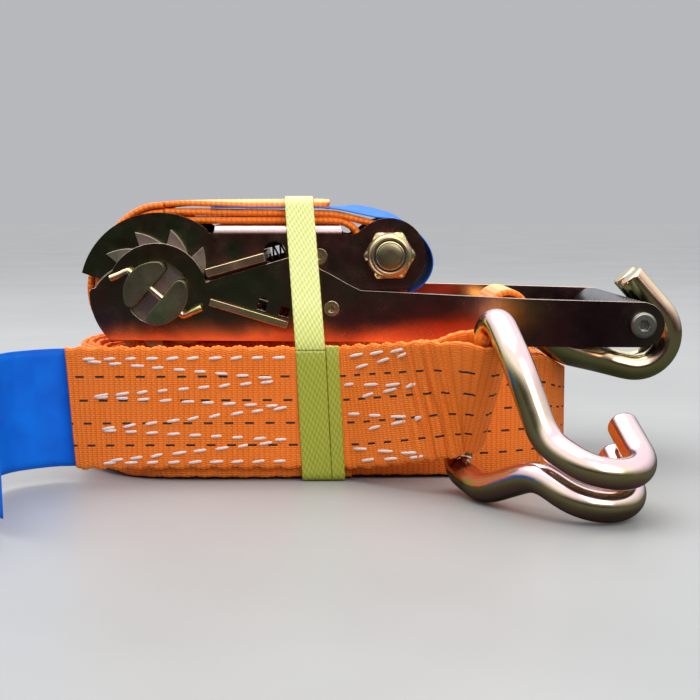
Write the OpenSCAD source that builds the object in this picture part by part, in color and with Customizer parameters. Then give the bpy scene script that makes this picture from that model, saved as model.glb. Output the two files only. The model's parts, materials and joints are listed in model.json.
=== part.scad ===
// Two-piece ratchet tie down, bundled: the long strap is coiled on edge and
// the ratchet lies on top of it, upside down, with its short strap wrapped
// round it. Millimetres, +Z up, +X along the coil, -Y is the front.
// The origin is where the packing band rests on the ground, under the middle of the coil.

/* [Webbing] */
// Width of the webbing
web_width = 50; // [46:1:50]
// Thickness of the webbing
web_thick = 2.6; // [2.2:0.1:2.7]
// Thickness of the sewn-in labels
label_thick = 0.5; // [0.3:0.1:0.6]
// Half length of the straight runs of the coil
coil_half = 53.5; // [50:0.5:54]

/* [Ratchet] */
// Thickness of the frame and handle plates
plate_thick = 3; // [2.6:0.1:3]
// Radius of the slotted take-up drum
drum_radius = 13; // [12.4:0.1:13]
// Width of the slot between the two half-round shafts
slot_width = 6.5; // [5:0.5:7]
// Tip radius of the ratchet teeth
tooth_tip_radius = 26.6; // [26:0.1:26.6]
// Radial drop of the back of one tooth
tooth_drop = 8; // [7:0.1:8]
// Width of the frame pawl over its ears
frame_pawl_width = 80; // [78:1:80]
// Outside radius of the grip roller
grip_radius = 9; // [8:0.1:9]

/* [Hooks] */
// Diameter of the hook wire
wire_diameter = 11.4; // [10.6:0.1:11.4]
// Centreline radius of the hook bowl
bowl_radius = 15; // [14.8:0.1:15.2]

/* [Packing band] */
// Width of the packing band
band_width = 12; // [9:1:12]
// Thickness of the packing band
band_thick = 0.6; // [0.5:0.1:0.7]

/* [Hidden] */
$fn = 48;

STEEL = [0.55, 0.50, 0.28];
GOLD = [0.82, 0.70, 0.42];
DARK = [0.22, 0.20, 0.14];
ORANGE = [1.0, 0.42, 0.08];
BLUE = [0.02, 0.42, 0.88];
LIME = [0.78, 0.82, 0.42];

// axes that run along Y, as [X, Z]
spindle = [-70.1, 75.5];
bolt_at = [26.3, 90.7];
grip_at = [127.7, 63.3];
frame_rivet_at = spindle + [67.2, 14.7];
handle_rivet_at = [2.1, 68.9];

// faces of the plates, measured from the middle plane
frame_inner = 27;
frame_outer = frame_inner + plate_thick;
wheel_inner = 30.6;
wheel_thick = 3.6;
handle_inner = 34.8;
handle_outer = handle_inner + plate_thick;
// the handle plates splay outwards between these X stations
splay = 17.4;
splay_from = 14;
splay_to = 82;
grip_inner = handle_inner + splay;
grip_outer = handle_outer + splay;

bolt_radius = 6;
sleeve_radius = 9.5;
rivet_radius = 2.5;
grip_bolt_radius = 4;
wire_radius = wire_diameter / 2;

// start [X, Z], slope and length of each pawl
frame_pawl_at = spindle + [20.5, 8.1];
frame_pawl_angle = 15.5;
frame_pawl_length = 25;
handle_pawl_at = spindle + [21.8, -3.7];
handle_pawl_angle = -16.8;
handle_pawl_length = 28;

// ---------- points and curves ----------
function unit(vector) = vector / norm(vector);
function square_to(vector, axis) = unit(vector - (vector * axis) * axis);
function polar(radius, angle) = radius * [cos(angle), sin(angle)];
function arc(centre, radius, from, to, steps) =
  [for (i = [0:steps]) centre + polar(radius, from + (to - from) * i / steps)];
function xz(point, y = 0) = [point[0], y, point[1]];
function shift(points, by) = [for (p = points) by + p];
function reversed(list) = [for (i = [len(list) - 1:-1:0]) list[i]];
function both(half) = [-half, half];

// Catmull-Rom curve through a list of points
function blend(a, b, c, d, t) = 0.5 * (2 * b + (c - a) * t
  + (2 * a - 5 * b + 4 * c - d) * t * t + (3 * b - a - 3 * c + d) * t * t * t);
function smooth(points, steps) = let (last = len(points) - 1) concat(
  [for (i = [0:last - 1], k = [0:steps - 1])
    blend(points[max(i - 1, 0)], points[i], points[i + 1], points[min(i + 2, last)], k / steps)],
  [points[last]]);

// a corner of a polyline, rounded
function corner(before, point, after, radius, steps) = let (
    to_before = unit(before - point),
    to_after = unit(after - point),
    half = acos(to_before * to_after) / 2,
    reach = radius / tan(half),
    centre = point + unit(to_before + to_after) * radius / sin(half),
    start = point + to_before * reach - centre,
    end = point + to_after * reach - centre,
    turn = 180 - 2 * half)
  [for (k = [0:steps]) centre
    + (sin((1 - k / steps) * turn) * start + sin(k / steps * turn) * end) / sin(turn)];

// ---------- sweeps ----------
function tangents(line) = let (last = len(line) - 1)
  [for (i = [0:last]) unit(line[min(i + 1, last)] - line[max(i - 1, 0)])];
// directions that halve the angle at each bend
function mitre_tangents(line) = let (last = len(line) - 1) [for (i = [0:last])
  i == 0 ? unit(line[1] - line[0])
  : i == last ? unit(line[last] - line[last - 1])
  : unit(unit(line[i + 1] - line[i]) + unit(line[i] - line[i - 1]))];
function any_perp(axis) = unit(cross(axis, abs(axis[2]) < 0.9 ? [0, 0, 1] : [1, 0, 0]));
// a normal carried along the line without twist
function carried_normals(dirs) = [for (i = 0, normal = any_perp(dirs[0]); i < len(dirs);
  i = i + 1, normal = i < len(dirs) ? square_to(normal, dirs[i]) : normal) normal];
// end caps and triangles that join rings of points
function skin(rings, sides) = concat(
  [[for (j = [sides - 1:-1:0]) j]],
  [for (i = [0:rings - 2], j = [0:sides - 1]) let (next = (j + 1) % sides)
    [i * sides + j, i * sides + next, (i + 1) * sides + next]],
  [for (i = [0:rings - 2], j = [0:sides - 1]) let (next = (j + 1) % sides)
    [i * sides + j, (i + 1) * sides + next, (i + 1) * sides + j]],
  [[for (j = [0:sides - 1]) (rings - 1) * sides + j]]);

module tube(line, radius, sides) {
  dirs = tangents(line);
  normals = carried_normals(dirs);
  polyhedron(
    [for (i = [0:len(line) - 1], j = [0:sides - 1]) let (round = polar(radius, 360 * j / sides))
      line[i] + round[0] * normals[i] + round[1] * cross(dirs[i], normals[i])],
    skin(len(line), sides));
}

// a strap about its centreline; across is the direction of its width.
// across and width are each one value, or a list with one per point.
module ribbon(line, across, width, thick) {
  dirs = mitre_tangents(line);
  polyhedron(
    [for (i = [0:len(line) - 1]) let (
        side = is_list(across[0]) ? across[i] : across,
        half = (is_list(width) ? width[i] : width) / 2,
        normal = unit(cross(dirs[i], side)))
      for (k = [[-1, -1], [1, -1], [1, 1], [-1, 1]])
        line[i] + k[0] * half * side + k[1] * thick / 2 * normal],
    skin(len(line), 4));
}

// a strap whose width lies along Y, from [X, Z] points
module flat_strap(line, width, thick) {
  ribbon([for (p = line) xz(p)], [0, 1, 0], width, thick);
}

// ---------- solids along Y; every span is [from, to] ----------
// an X-Z drawing, extruded along Y
module along_y(span) {
  translate([0, span[1], 0]) rotate([90, 0, 0]) linear_extrude(span[1] - span[0]) children();
}

module rod_y(centre, radius, span) {
  translate(xz(centre, span[1])) rotate([90, 0, 0]) cylinder(h = span[1] - span[0], r = radius);
}

// a box along and across a sloping line in the X-Z plane
module box_on(start, angle, along, across, span) {
  translate(xz(start)) rotate([0, -angle, 0])
    translate([along[0], span[0], across[0]])
      cube([along[1] - along[0], span[1] - span[0], across[1] - across[0]]);
}

module coil_spring(start, angle, length, coil_radius, turns, thickness_radius) {
  steps = turns * 14;
  dir = xz(polar(1, angle));
  side = any_perp(dir);
  tube([for (i = [0:steps]) let (round = polar(coil_radius, 360 * i / 14))
    start + dir * length * i / steps + round[0] * side + round[1] * cross(dir, side)],
    thickness_radius, 6);
}

// ---------- frame ----------
// cross web between the side plates, X and Z from the spindle
web_from = 23.6;
web_to = 75.8;
web_top = 27.8;
web_bend_radius = 4;
// upper edge of a side plate: X, Z from the spindle, with a notch at each end of the web
frame_top_edge = [
  [20.4, 25.1], [21.2, 24.5], [22.3, 24.5], [23.3, 25.3], [web_from, web_top],
  [web_to, web_top], [76.6, 25.6], [78.2, 23.9], [80.5, 23.5], [83.2, 24.6]];

function frame_outline() = concat(
  arc(spindle, 33, 166, 53, 30),
  shift(frame_top_edge, spindle),
  arc(bolt_at, 15.5, 123, -90, 36),
  shift([[40, -0.3], [19.2, -0.3]], spindle),
  arc(spindle, 19, -3, -190, 30));

// what is taken off the long corner where a plate is bent into the web
module bend_waste() {
  centre = [frame_outer - web_bend_radius, spindle[1] + web_top - web_bend_radius];
  translate([spindle[0] + 23, 0, 0]) rotate([90, 0, 90]) linear_extrude(53.6) difference() {
    translate(centre) square([5, 5]);
    translate(centre) circle(web_bend_radius);
  }
}

module ratchet_frame() {
  color(DARK) difference() {
    union() {
      along_y([-frame_outer, -frame_inner]) polygon(frame_outline());
      along_y([frame_inner, frame_outer]) polygon(frame_outline());
      translate(xz(spindle + [web_from, web_top - plate_thick], -frame_outer))
        cube([web_to - web_from, 2 * frame_outer, plate_thick]);
      // tab that seats the pawl spring
      translate(xz(spindle + [69.5, 15.5], -9)) cube([2.6, 18, 10]);
    }
    bend_waste();
    mirror([0, 1, 0]) bend_waste();
    // round window at the back end of the near pawl slot
    rod_y(spindle + [48.4, 16.4], 4.6, [-60, -20]);
    rod_y(spindle, drum_radius + 0.08, both(60));
    rod_y(bolt_at, bolt_radius + 0.05, both(60));
    rod_y(frame_rivet_at, rivet_radius, both(60));
    // pawl slots
    for (span = [[-60, -20], [20, 60]])
      box_on(frame_pawl_at, frame_pawl_angle, [-0.4, frame_pawl_length + 8.5], both(1.95), span);
  }
}

module frame_bolt() {
  color(GOLD) union() {
    rod_y(bolt_at, bolt_radius, [-39.6, 31]);
    rod_y(bolt_at, 10.5, [30.3, 37.8], $fn = 6);
  }
}

module frame_bolt_nut() {
  color(GOLD) difference() {
    union() {
      translate(xz(bolt_at, -30.2)) rotate([90, 0, 0]) rotate([0, 0, 1])
        cylinder(h = 7.6, r = 11, $fn = 6);
      rod_y(bolt_at, 8.4, [-38.6, -37.5]);
    }
    rod_y(bolt_at, bolt_radius, both(60));
  }
}

module frame_bolt_sleeve() {
  color(STEEL) difference() {
    rod_y(bolt_at, sleeve_radius, both(frame_inner - 0.1));
    rod_y(bolt_at, bolt_radius + 0.06, both(60));
  }
}

module frame_cross_rivet() {
  head_radius = 3.3;
  color(STEEL) union() {
    rod_y(frame_rivet_at, rivet_radius, both(31));
    // near head, with a dimple
    difference() {
      rod_y(frame_rivet_at, head_radius, [-31.2, -frame_outer]);
      rod_y(frame_rivet_at, 1.2, [-32, -30.6]);
    }
    rod_y(frame_rivet_at, head_radius, [frame_outer, 31.2]);
  }
}

module frame_pawl_spring() {
  start = xz(frame_pawl_at + polar(frame_pawl_length + 0.8, frame_pawl_angle));
  color(STEEL) coil_spring(start, frame_pawl_angle, length = 22.6, coil_radius = 2.6,
    turns = 7, thickness_radius = 0.45);
}

module frame_pawl() {
  color(GOLD) difference() {
    box_on(frame_pawl_at, frame_pawl_angle, [0, frame_pawl_length], both(1.75),
      both(frame_pawl_width / 2));
    box_on(frame_pawl_at, frame_pawl_angle, [9, 17], both(3), both(14));
  }
}

// ---------- spindle ----------
teeth = 11;
tooth_pitch = 360 / teeth;
tooth_phase = 12.4;
// angle taken by the steep face of a tooth
tooth_face = 1.2;
// direction in which the slot separates the half shafts
pin_angle = 140;
pin_sides = [-41.6, 41.6];

function tooth_profile() = [for (k = [0:teeth - 1], i = [5:-1:0])
  let (back = i * (tooth_pitch - tooth_face) / 5)
  polar(tooth_tip_radius - tooth_drop * back / tooth_pitch,
    tooth_phase + tooth_pitch * k - back)];

// half-round section with rounded corners, flat side towards the slot
function half_section(radius, slot, rounding) = let (
    y = slot / 2 + rounding,
    x = sqrt((radius - rounding) * (radius - rounding) - y * y),
    angle = atan2(y, x))
  concat(arc([0, 0], radius, angle, 180 - angle, 26),
    arc([-x, y], rounding, 180 - angle, 270, 6),
    arc([x, y], rounding, -90, angle, 6));

module shaft_section(side, grow = 0) {
  rotate(pin_angle - 90 + (side > 0 ? 0 : 180))
    polygon(half_section(drum_radius + grow, slot_width - 2 * grow, 2.6 + grow));
}

module ratchet_wheel(from) {
  color(STEEL) translate(xz(spindle)) along_y([from, from + wheel_thick]) difference() {
    polygon(tooth_profile());
    shaft_section(1, 0.05);
    shaft_section(-1, 0.05);
  }
}
module ratchet_wheel_near() { ratchet_wheel(-wheel_inner - wheel_thick); }
module ratchet_wheel_far() { ratchet_wheel(wheel_inner); }

module half_shaft(side) {
  color(DARK) difference() {
    translate(xz(spindle)) along_y(both(45.5)) shaft_section(side);
    // cotter pin holes
    for (y = pin_sides)
      translate(xz(spindle, y)) rotate([0, 90 - pin_angle, 0])
        cylinder(h = 60, r = 1.75, center = true);
  }
}
module half_shaft_upper() { half_shaft(1); }
module half_shaft_lower() { half_shaft(-1); }

module cotter_pins() {
  reach = polar(drum_radius + 0.9, pin_angle);
  inset = polar(1.2, pin_angle);
  upper = spindle + reach;
  lower = spindle - reach;
  line = [
    upper + polar(8.6, 200), upper + polar(4, 198), upper + polar(1.2, 185), upper - inset,
    spindle,
    lower + inset, lower + polar(1.2, 5), lower + polar(4, 18), lower + polar(8.6, 20)];
  color(GOLD) for (y = pin_sides) tube([for (p = smooth(line, 5)) xz(p, y)], 1.5, 12);
}

// ---------- handle ----------
function handle_outline() = concat(
  arc(spindle, 20.5, 12, 154, 30),
  // the round end widens to the heel
  [for (i = [1:5]) spindle + polar(20.5 + 4.8 * i / 5, 154 + 21 * i / 5)],
  [spindle + polar(27, 176.5)],
  arc(spindle, 27.8, 179, 224, 12),
  [[-87.4, 55.9], [-60, 55.5]],
  arc(grip_at, 9.2, -93, 84, 26),
  [[82, 73.8], [14, 76.4], [8.5, 79.2], [1.5, 83.2], [-2.7, 85.3], [-9, 88.9], [-13.5, 90.1]],
  [frame_pawl_at + polar(34, frame_pawl_angle) + polar(2.9, frame_pawl_angle - 90),
   spindle + [22.5, 5.1]]);

// plan view of the far plate, with its two bends
module handle_strip() {
  linear_extrude(160) polygon([
    [-110, handle_outer], [splay_from, handle_outer], [splay_to, grip_outer], [145, grip_outer],
    [145, grip_inner], [splay_to + 0.4, grip_inner], [splay_from + 0.4, handle_inner],
    [-110, handle_inner]]);
}

module handle_plate(side) {
  color(DARK) difference() {
    intersection() {
      along_y(both(70)) polygon(handle_outline());
      if (side > 0) handle_strip();
      else mirror([0, 1, 0]) handle_strip();
    }
    rod_y(spindle, drum_radius + 0.08, both(70));
    rod_y(grip_at, grip_bolt_radius + 0.02, both(70));
    rod_y(handle_rivet_at, rivet_radius, both(70));
    box_on(handle_pawl_at, handle_pawl_angle, [0.5, 28.4], both(1.7), both(70));
    // two punched windows by the pawl, in the near plate only
    if (side < 0) {
      box_on(spindle + [43.6, -4.7], handle_pawl_angle, both(1.9), both(2.6), [-70, 0]);
      box_on(spindle + [52.6, -8.2], handle_pawl_angle, both(2), [-1.6, 2.2], [-70, 0]);
    }
  }
}
module handle_plate_near() { handle_plate(-1); }
module handle_plate_far() { handle_plate(1); }

// angle plate and rivet tube between the handle plates
module handle_bridge() {
  half = handle_inner - 0.1;
  tube_radius = 3.3;
  left = -7.2;
  bottom = 57.6;
  top = handle_rivet_at[1] + tube_radius;
  color(STEEL) difference() {
    union() {
      translate([left, -half, bottom]) cube([2.4, 2 * half, top - bottom]);
      translate([left, -half, top - 2.6]) cube([handle_rivet_at[0] - left, 2 * half, 2.6]);
      rod_y(handle_rivet_at, tube_radius, both(half));
    }
    rod_y(handle_rivet_at, rivet_radius + 0.05, both(70));
  }
}

module handle_cross_rivet() {
  end = handle_outer + 0.9;
  color(GOLD) difference() {
    union() {
      rod_y(handle_rivet_at, rivet_radius, both(end));
      rod_y(handle_rivet_at, 3.2, [-end, -handle_outer]);
      rod_y(handle_rivet_at, 3.2, [handle_outer, end]);
    }
    // hollow ends
    rod_y(handle_rivet_at, 1.5, [-handle_outer - 2, -handle_outer + 3]);
    rod_y(handle_rivet_at, 1.5, [handle_outer - 3, handle_outer + 2]);
  }
}

module handle_pawl_spring() {
  start = xz(handle_pawl_at + polar(handle_pawl_length + 0.9, handle_pawl_angle) + [0, 0.5]);
  color(STEEL) coil_spring(start, handle_pawl_angle, length = 13, coil_radius = 1.6,
    turns = 6, thickness_radius = 0.4);
}

module handle_pawl() {
  ear = [handle_outer + 0.15, handle_outer + 2.6];
  color(GOLD) difference() {
    union() {
      box_on(handle_pawl_at, handle_pawl_angle, [5.1, handle_pawl_length], both(1.5),
        both(handle_outer + 1));
      // longer ears outside the handle plates
      for (span = [ear, -reversed(ear)])
        box_on(handle_pawl_at, handle_pawl_angle, [0, 33.5], both(1.5), span);
    }
    box_on(handle_pawl_at, handle_pawl_angle, [12, 20], both(3), both(13));
  }
}

module grip_bolt() {
  color(STEEL) difference() {
    union() {
      rod_y(grip_at, grip_bolt_radius, [-grip_outer, grip_outer + 6.5]);
      rod_y(grip_at, 5.2, [-grip_outer - 3.2, -grip_outer]);
      rod_y(grip_at, 4.6, [-grip_outer - 3.8, -grip_outer - 3.2]);
    }
    // hexagon socket
    rod_y(grip_at, 2.3, [-grip_outer - 7.4, -grip_outer - 1.4], $fn = 6);
  }
}

module grip_bolt_nut() {
  color(STEEL) difference() {
    rod_y(grip_at, 6.9, [grip_outer + 0.1, grip_outer + 5.6], $fn = 6);
    rod_y(grip_at, grip_bolt_radius, both(90));
  }
}

module grip_roller() {
  color(DARK) difference() {
    rod_y(grip_at, grip_radius, both(grip_inner - 0.3));
    rod_y(grip_at, grip_bolt_radius + 0.05, both(90));
  }
}

// ---------- hooks ----------
// A hook is drawn with its bar along Y through the origin and its bowl towards +X.
bowl_centre = [58.2, 6.7, -11.7];
function on_bowl(angle) = bowl_centre + bowl_radius * [cos(angle), 0, sin(angle)];

// centreline of one claw, from the middle of the bar to the tip
function hook_half(side) = let (
    middle = [0, 0, 0],
    bar_end = [0, 34.2, 0],
    shoulder = [22, 26.7, -17],
    neck = [42, 6.7, -23],
    tip_dir = [-0.667, 0, 0.745],
    line = concat(
      [middle],
      corner(middle, bar_end, shoulder, 7, 6),
      corner(bar_end, shoulder, neck, 22, 5),
      corner(shoulder, neck, on_bowl(255), 16, 5),
      [for (angle = [255:12.2:401.6]) on_bowl(angle)],
      [for (reach = [12, 21]) on_bowl(401.8) + reach * tip_dir]))
  [for (p = line) [p[0], side * p[1], p[2]]];

// a hook placed by the middle of its bar and its three axes
module hook(centre, out, bar, up) {
  half = hook_half(1);
  line = concat(reversed(hook_half(-1)), [for (i = [1:len(half) - 1]) half[i]]);
  color(GOLD) tube([for (p = line) centre + p[0] * out + p[1] * bar + p[2] * up],
    wire_radius, 16);
}

// the short strap's hook, with its bowl round the grip
ratchet_hook_at = [78, 67];
module ratchet_claw_hook() { hook(xz(ratchet_hook_at), [1, 0, 0], [0, 1, 0], [0, 0, 1]); }

// the long strap's hook, drooping to the floor in front of the coil
strap_hook_at = [55.94, -86.14, 40.77];
strap_hook_out = unit([0.7925, -0.5003, -0.3488]);
strap_hook_bar = square_to([-0.1772, 0.3584, -0.9166], strap_hook_out);
module strap_claw_hook() {
  hook(strap_hook_at, strap_hook_out, strap_hook_bar, cross(strap_hook_out, strap_hook_bar));
}

// ---------- short strap; centrelines are [X, Z] ----------
short_width = web_width - 1;

module short_strap_top() {
  // one layer out to the bolt sleeve, round it and back
  eye = concat(
    [[-66, 105.1], [-30, 105.1], [-4, 105.1], [5.8, 105.0], [11.6, 102.4]],
    arc(bolt_at, sleeve_radius + 0.2 + web_thick / 2, 158, 440, 30),
    [[13, 105.5], [4, 107.7], [-8, 108.0], [-30, 108.2], [-56, 108.6], [-68, 108.6]]);
  // tail of the other eye, on top, with its cut end
  tail = [[-68, 111.7], [-56, 112.3], [-35, 112.6], [-15, 112.7], [-3, 112.9], [1.6, 112.6]];
  color(ORANGE) union() {
    flat_strap(eye, short_width, web_thick);
    flat_strap(smooth(tail, 3), short_width, web_thick);
  }
}

module short_strap_label() {
  flat_part = [[-44, 110.6], [-20, 110.6], [-4, 110.6], [4, 110.1], [12, 108.9], [20, 107.3]];
  // radius and angle about the frame bolt
  round_part = [
    [15.7, 74], [15.2, 56], [15.4, 38], [16.6, 20], [18.3, 2], [19.5, -16], [19.5, -34],
    [18.8, -50]];
  line = concat(flat_part, [for (q = round_part) bolt_at + polar(q[0], q[1])], [[35, 74.8]]);
  color(BLUE) flat_strap(smooth(line, 3), 46, label_thick);
}

// two layers round the left end, between the plates
module short_strap_bend() {
  // radius and angle of the outer layer about the spindle
  stations = [
    [35.7, 98], [34.6, 108], [33, 119], [31.3, 132], [30.2, 150], [29.8, 170], [29.4, 190],
    [28.4, 208], [26.8, 224]];
  // inset from the outer layer, and the points that end the layer
  layers = [
    [3.1, [[-82.3, 56.6], [-76, 55.3]]],
    [0, [[-82.6, 53.4], [-76, 52.4]]]];
  color(ORANGE) union() for (layer = layers) {
    turn = concat([[1.7, 36.2 - layer[0]]], [for (s = stations) polar(s[0] - layer[0], s[1])]);
    flat_strap(smooth(concat(shift(turn, spindle), layer[1]), 3), short_width, web_thick);
  }
}

// under the ratchet to the hook bar, round it and back
module short_strap_under() {
  line = concat(
    [[-75.6, 52.4], [-40, 52.4], [20, 52.4], [44, 52.5], [56, 53.4], [68, 57.0]],
    arc(ratchet_hook_at, wire_radius + 0.6 + web_thick / 2, -66, 138, 22),
    [[67, 66.0], [61, 60.6], [51, 56.6], [40, 55.4], [20, 55.3], [-40, 55.3], [-75.6, 55.3]]);
  color(ORANGE) flat_strap(line, web_width - 4, web_thick);
}

// ---------- long strap ----------
lay = 3.0; // pitch of the coil's layers
half_turns = 35;
// Y of the coil's last front layer, and of the layer in front of it
inner_leg = -half_turns / 2 * lay - lay / 4;
outer_leg = inner_leg - lay;
// mid height of the strap in front of the coil
leg_height = 5.2 + web_width / 2;

// half turns about two centres, so that every layer keeps the same pitch
function coil_path() = concat(
  [[coil_half, lay / 4]],
  [for (k = [0:half_turns - 1]) let (
      side = k % 2 == 0 ? -1 : 1,
      steps = k < 8 ? 6 : 10)
    each arc(side * [coil_half, lay / 4], lay / 2 * (k + 1), -side * 90, -side * 90 + 180, steps)],
  [[10, inner_leg]]);

// how far the short strap's hook, lying across the coil's end, presses its upper edge down
function pressed(point) = min(8.3, max(0, 0.5 * (point[0] - 90) + 0.6))
  * min(1, max(0, (41 - abs(point[1])) / 8));

module long_strap_coil() {
  path = coil_path();
  widths = [for (p = path) web_width - 2.2 - pressed(p)];
  line = [for (i = [0:len(path) - 1]) [path[i][0], path[i][1], 0.8 + widths[i] / 2]];
  color(ORANGE) ribbon(line, [0, 0, 1], widths, web_thick);
}

// stations of the strap to and from the hook bar: X, Y, Z above leg_height,
// tilt (0 upright, 1 along the bar), loss of width
eye_in = [
  [10.7, inner_leg, 0, 0, 0], [13.4, inner_leg - 0.5, 0.3, 0, 0],
  [17, -57.9, 0.9, 0.1, 0], [24.5, -66.4, 2.4, 0.3, 0.5], [33, -74.6, 5, 0.55, 1],
  [41, -78.4, 8, 0.8, 1.5], [48.5, -79.6, 10.6, 0.95, 2]];
eye_out = [
  [47, -91.2, 6, 0.9, 2], [41, -87, 5, 0.75, 1.5], [34, -80.9, 4, 0.6, 1],
  [27.5, -74.7, 3, 0.4, 0.5], [21.5, -68.9, 2, 0.2, 0], [16, -63.7, 1.1, 0.1, 0],
  [12, -60, 0.4, 0, 0], [8, outer_leg, 0, 0, 0], [-105, outer_leg, 0, 0, 0]];

module long_strap_eye() {
  function placed(rows) = [for (r = rows) [[r[0], r[1], leg_height + r[2]], r[3], r[4]]];
  radius = wire_radius + 1.5 + web_thick / 2;
  // two directions square to the bar
  right = unit(cross(strap_hook_bar, [0, 1, 0]));
  back = cross(right, strap_hook_bar);
  round_bar = [for (q = arc([0, 0], radius, 95, -122, 14))
    [strap_hook_at + q[0] * right + q[1] * back, 1, 2]];
  stations = concat(placed(eye_in), round_bar, placed(eye_out));
  color(ORANGE) ribbon(
    [for (s = stations) s[0]],
    [for (s = stations) unit([0, 0, 1] * (1 - s[1]) - strap_hook_bar * s[1])],
    [for (s = stations) web_width - 2 - s[2]],
    web_thick);
}

module long_strap_label() {
  // X, Y
  plan = [
    [-97, outer_leg + 2.0], [-105, outer_leg + 2.0], [-109, outer_leg + 1.3], [-113.5, -57.3],
    [-118.5, -61.2], [-124.6, -68], [-128.6, -80], [-129.4, -98], [-126.6, -118],
    [-120, -136], [-110, -150]];
  line = [for (p = smooth(plan, 4)) [p[0], p[1], leg_height]];
  color(BLUE) ribbon(line, [0, 0, 1], 48, label_thick);
}

// ---------- packing band ----------
band_half = -outer_leg + web_thick / 2 + 0.25 + band_thick / 2;
band_x = -4;
// X shift of the band from the ground to its upper ends
band_shift = -2.6;

// the taut band leans in from the coil's edge to the top of the strap
module packing_band_upper() {
  bottom = 53.4;
  // Y, Z of the front half
  front = [[-band_half, bottom], [-band_half + 0.8, 56.0], [-26.4, 113.6], [-24.6, 114.9]];
  profile = concat(front, [for (p = reversed(front)) [-p[0], p[1]]]);
  line = [for (p = profile) [band_x + band_shift - 0.0813 * (p[1] - bottom), p[0], p[1]]];
  color(LIME) ribbon(line, [1, 0, 0], band_width, band_thick);
}

// a band down the front of the coil, under it and up the back
module band_loop(x, width, front_top, back_top) {
  ground = band_thick / 2;
  profile = [
    [-band_half, front_top], [-band_half, 2.2], [-band_half + 1.6, ground],
    [band_half - 1.6, ground], [band_half, 2.2], [band_half, back_top]];
  line = [for (p = profile) [x + (p[1] > 20 ? band_shift : 0), p[0], p[1]]];
  color(LIME) ribbon(line, [1, 0, 0], width, band_thick);
}
module packing_band_lower() { band_loop(band_x, band_width, 53, 53); }
// a second turn of band, round the coil only
module packing_band_second_wrap() { band_loop(4.75, 4.8, 55.4, 50); }

ratchet_frame();
frame_bolt();
frame_bolt_nut();
frame_bolt_sleeve();
frame_cross_rivet();
frame_pawl_spring();
short_strap_top();
short_strap_label();
packing_band_upper();
handle_plate_near();
handle_plate_far();
handle_bridge();
handle_cross_rivet();
handle_pawl_spring();
grip_bolt();
grip_bolt_nut();
short_strap_under();
short_strap_bend();
half_shaft_upper();
half_shaft_lower();
ratchet_wheel_near();
ratchet_wheel_far();
cotter_pins();
frame_pawl();
handle_pawl();
ratchet_claw_hook();
strap_claw_hook();
grip_roller();
long_strap_coil();
long_strap_eye();
long_strap_label();
packing_band_lower();
packing_band_second_wrap();
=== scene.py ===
"""Ratchet tie-down: a ratchet with its short strap and claw hook, standing on the coil of
its long strap, which ends in a sewn eye on a second claw hook.

X runs along the ratchet, with the short strap's hook at +X. The straps' widths and the axes
of spindle and bolt run along Y, except in the coil, whose webbing stands on edge on the floor
(z = 0). The camera looks along +Y, so "near" is -Y. Sizes are in millimetres and become
metres in build_mesh; materials, lights and camera are in metres unless a comment says so.
"""

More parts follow.
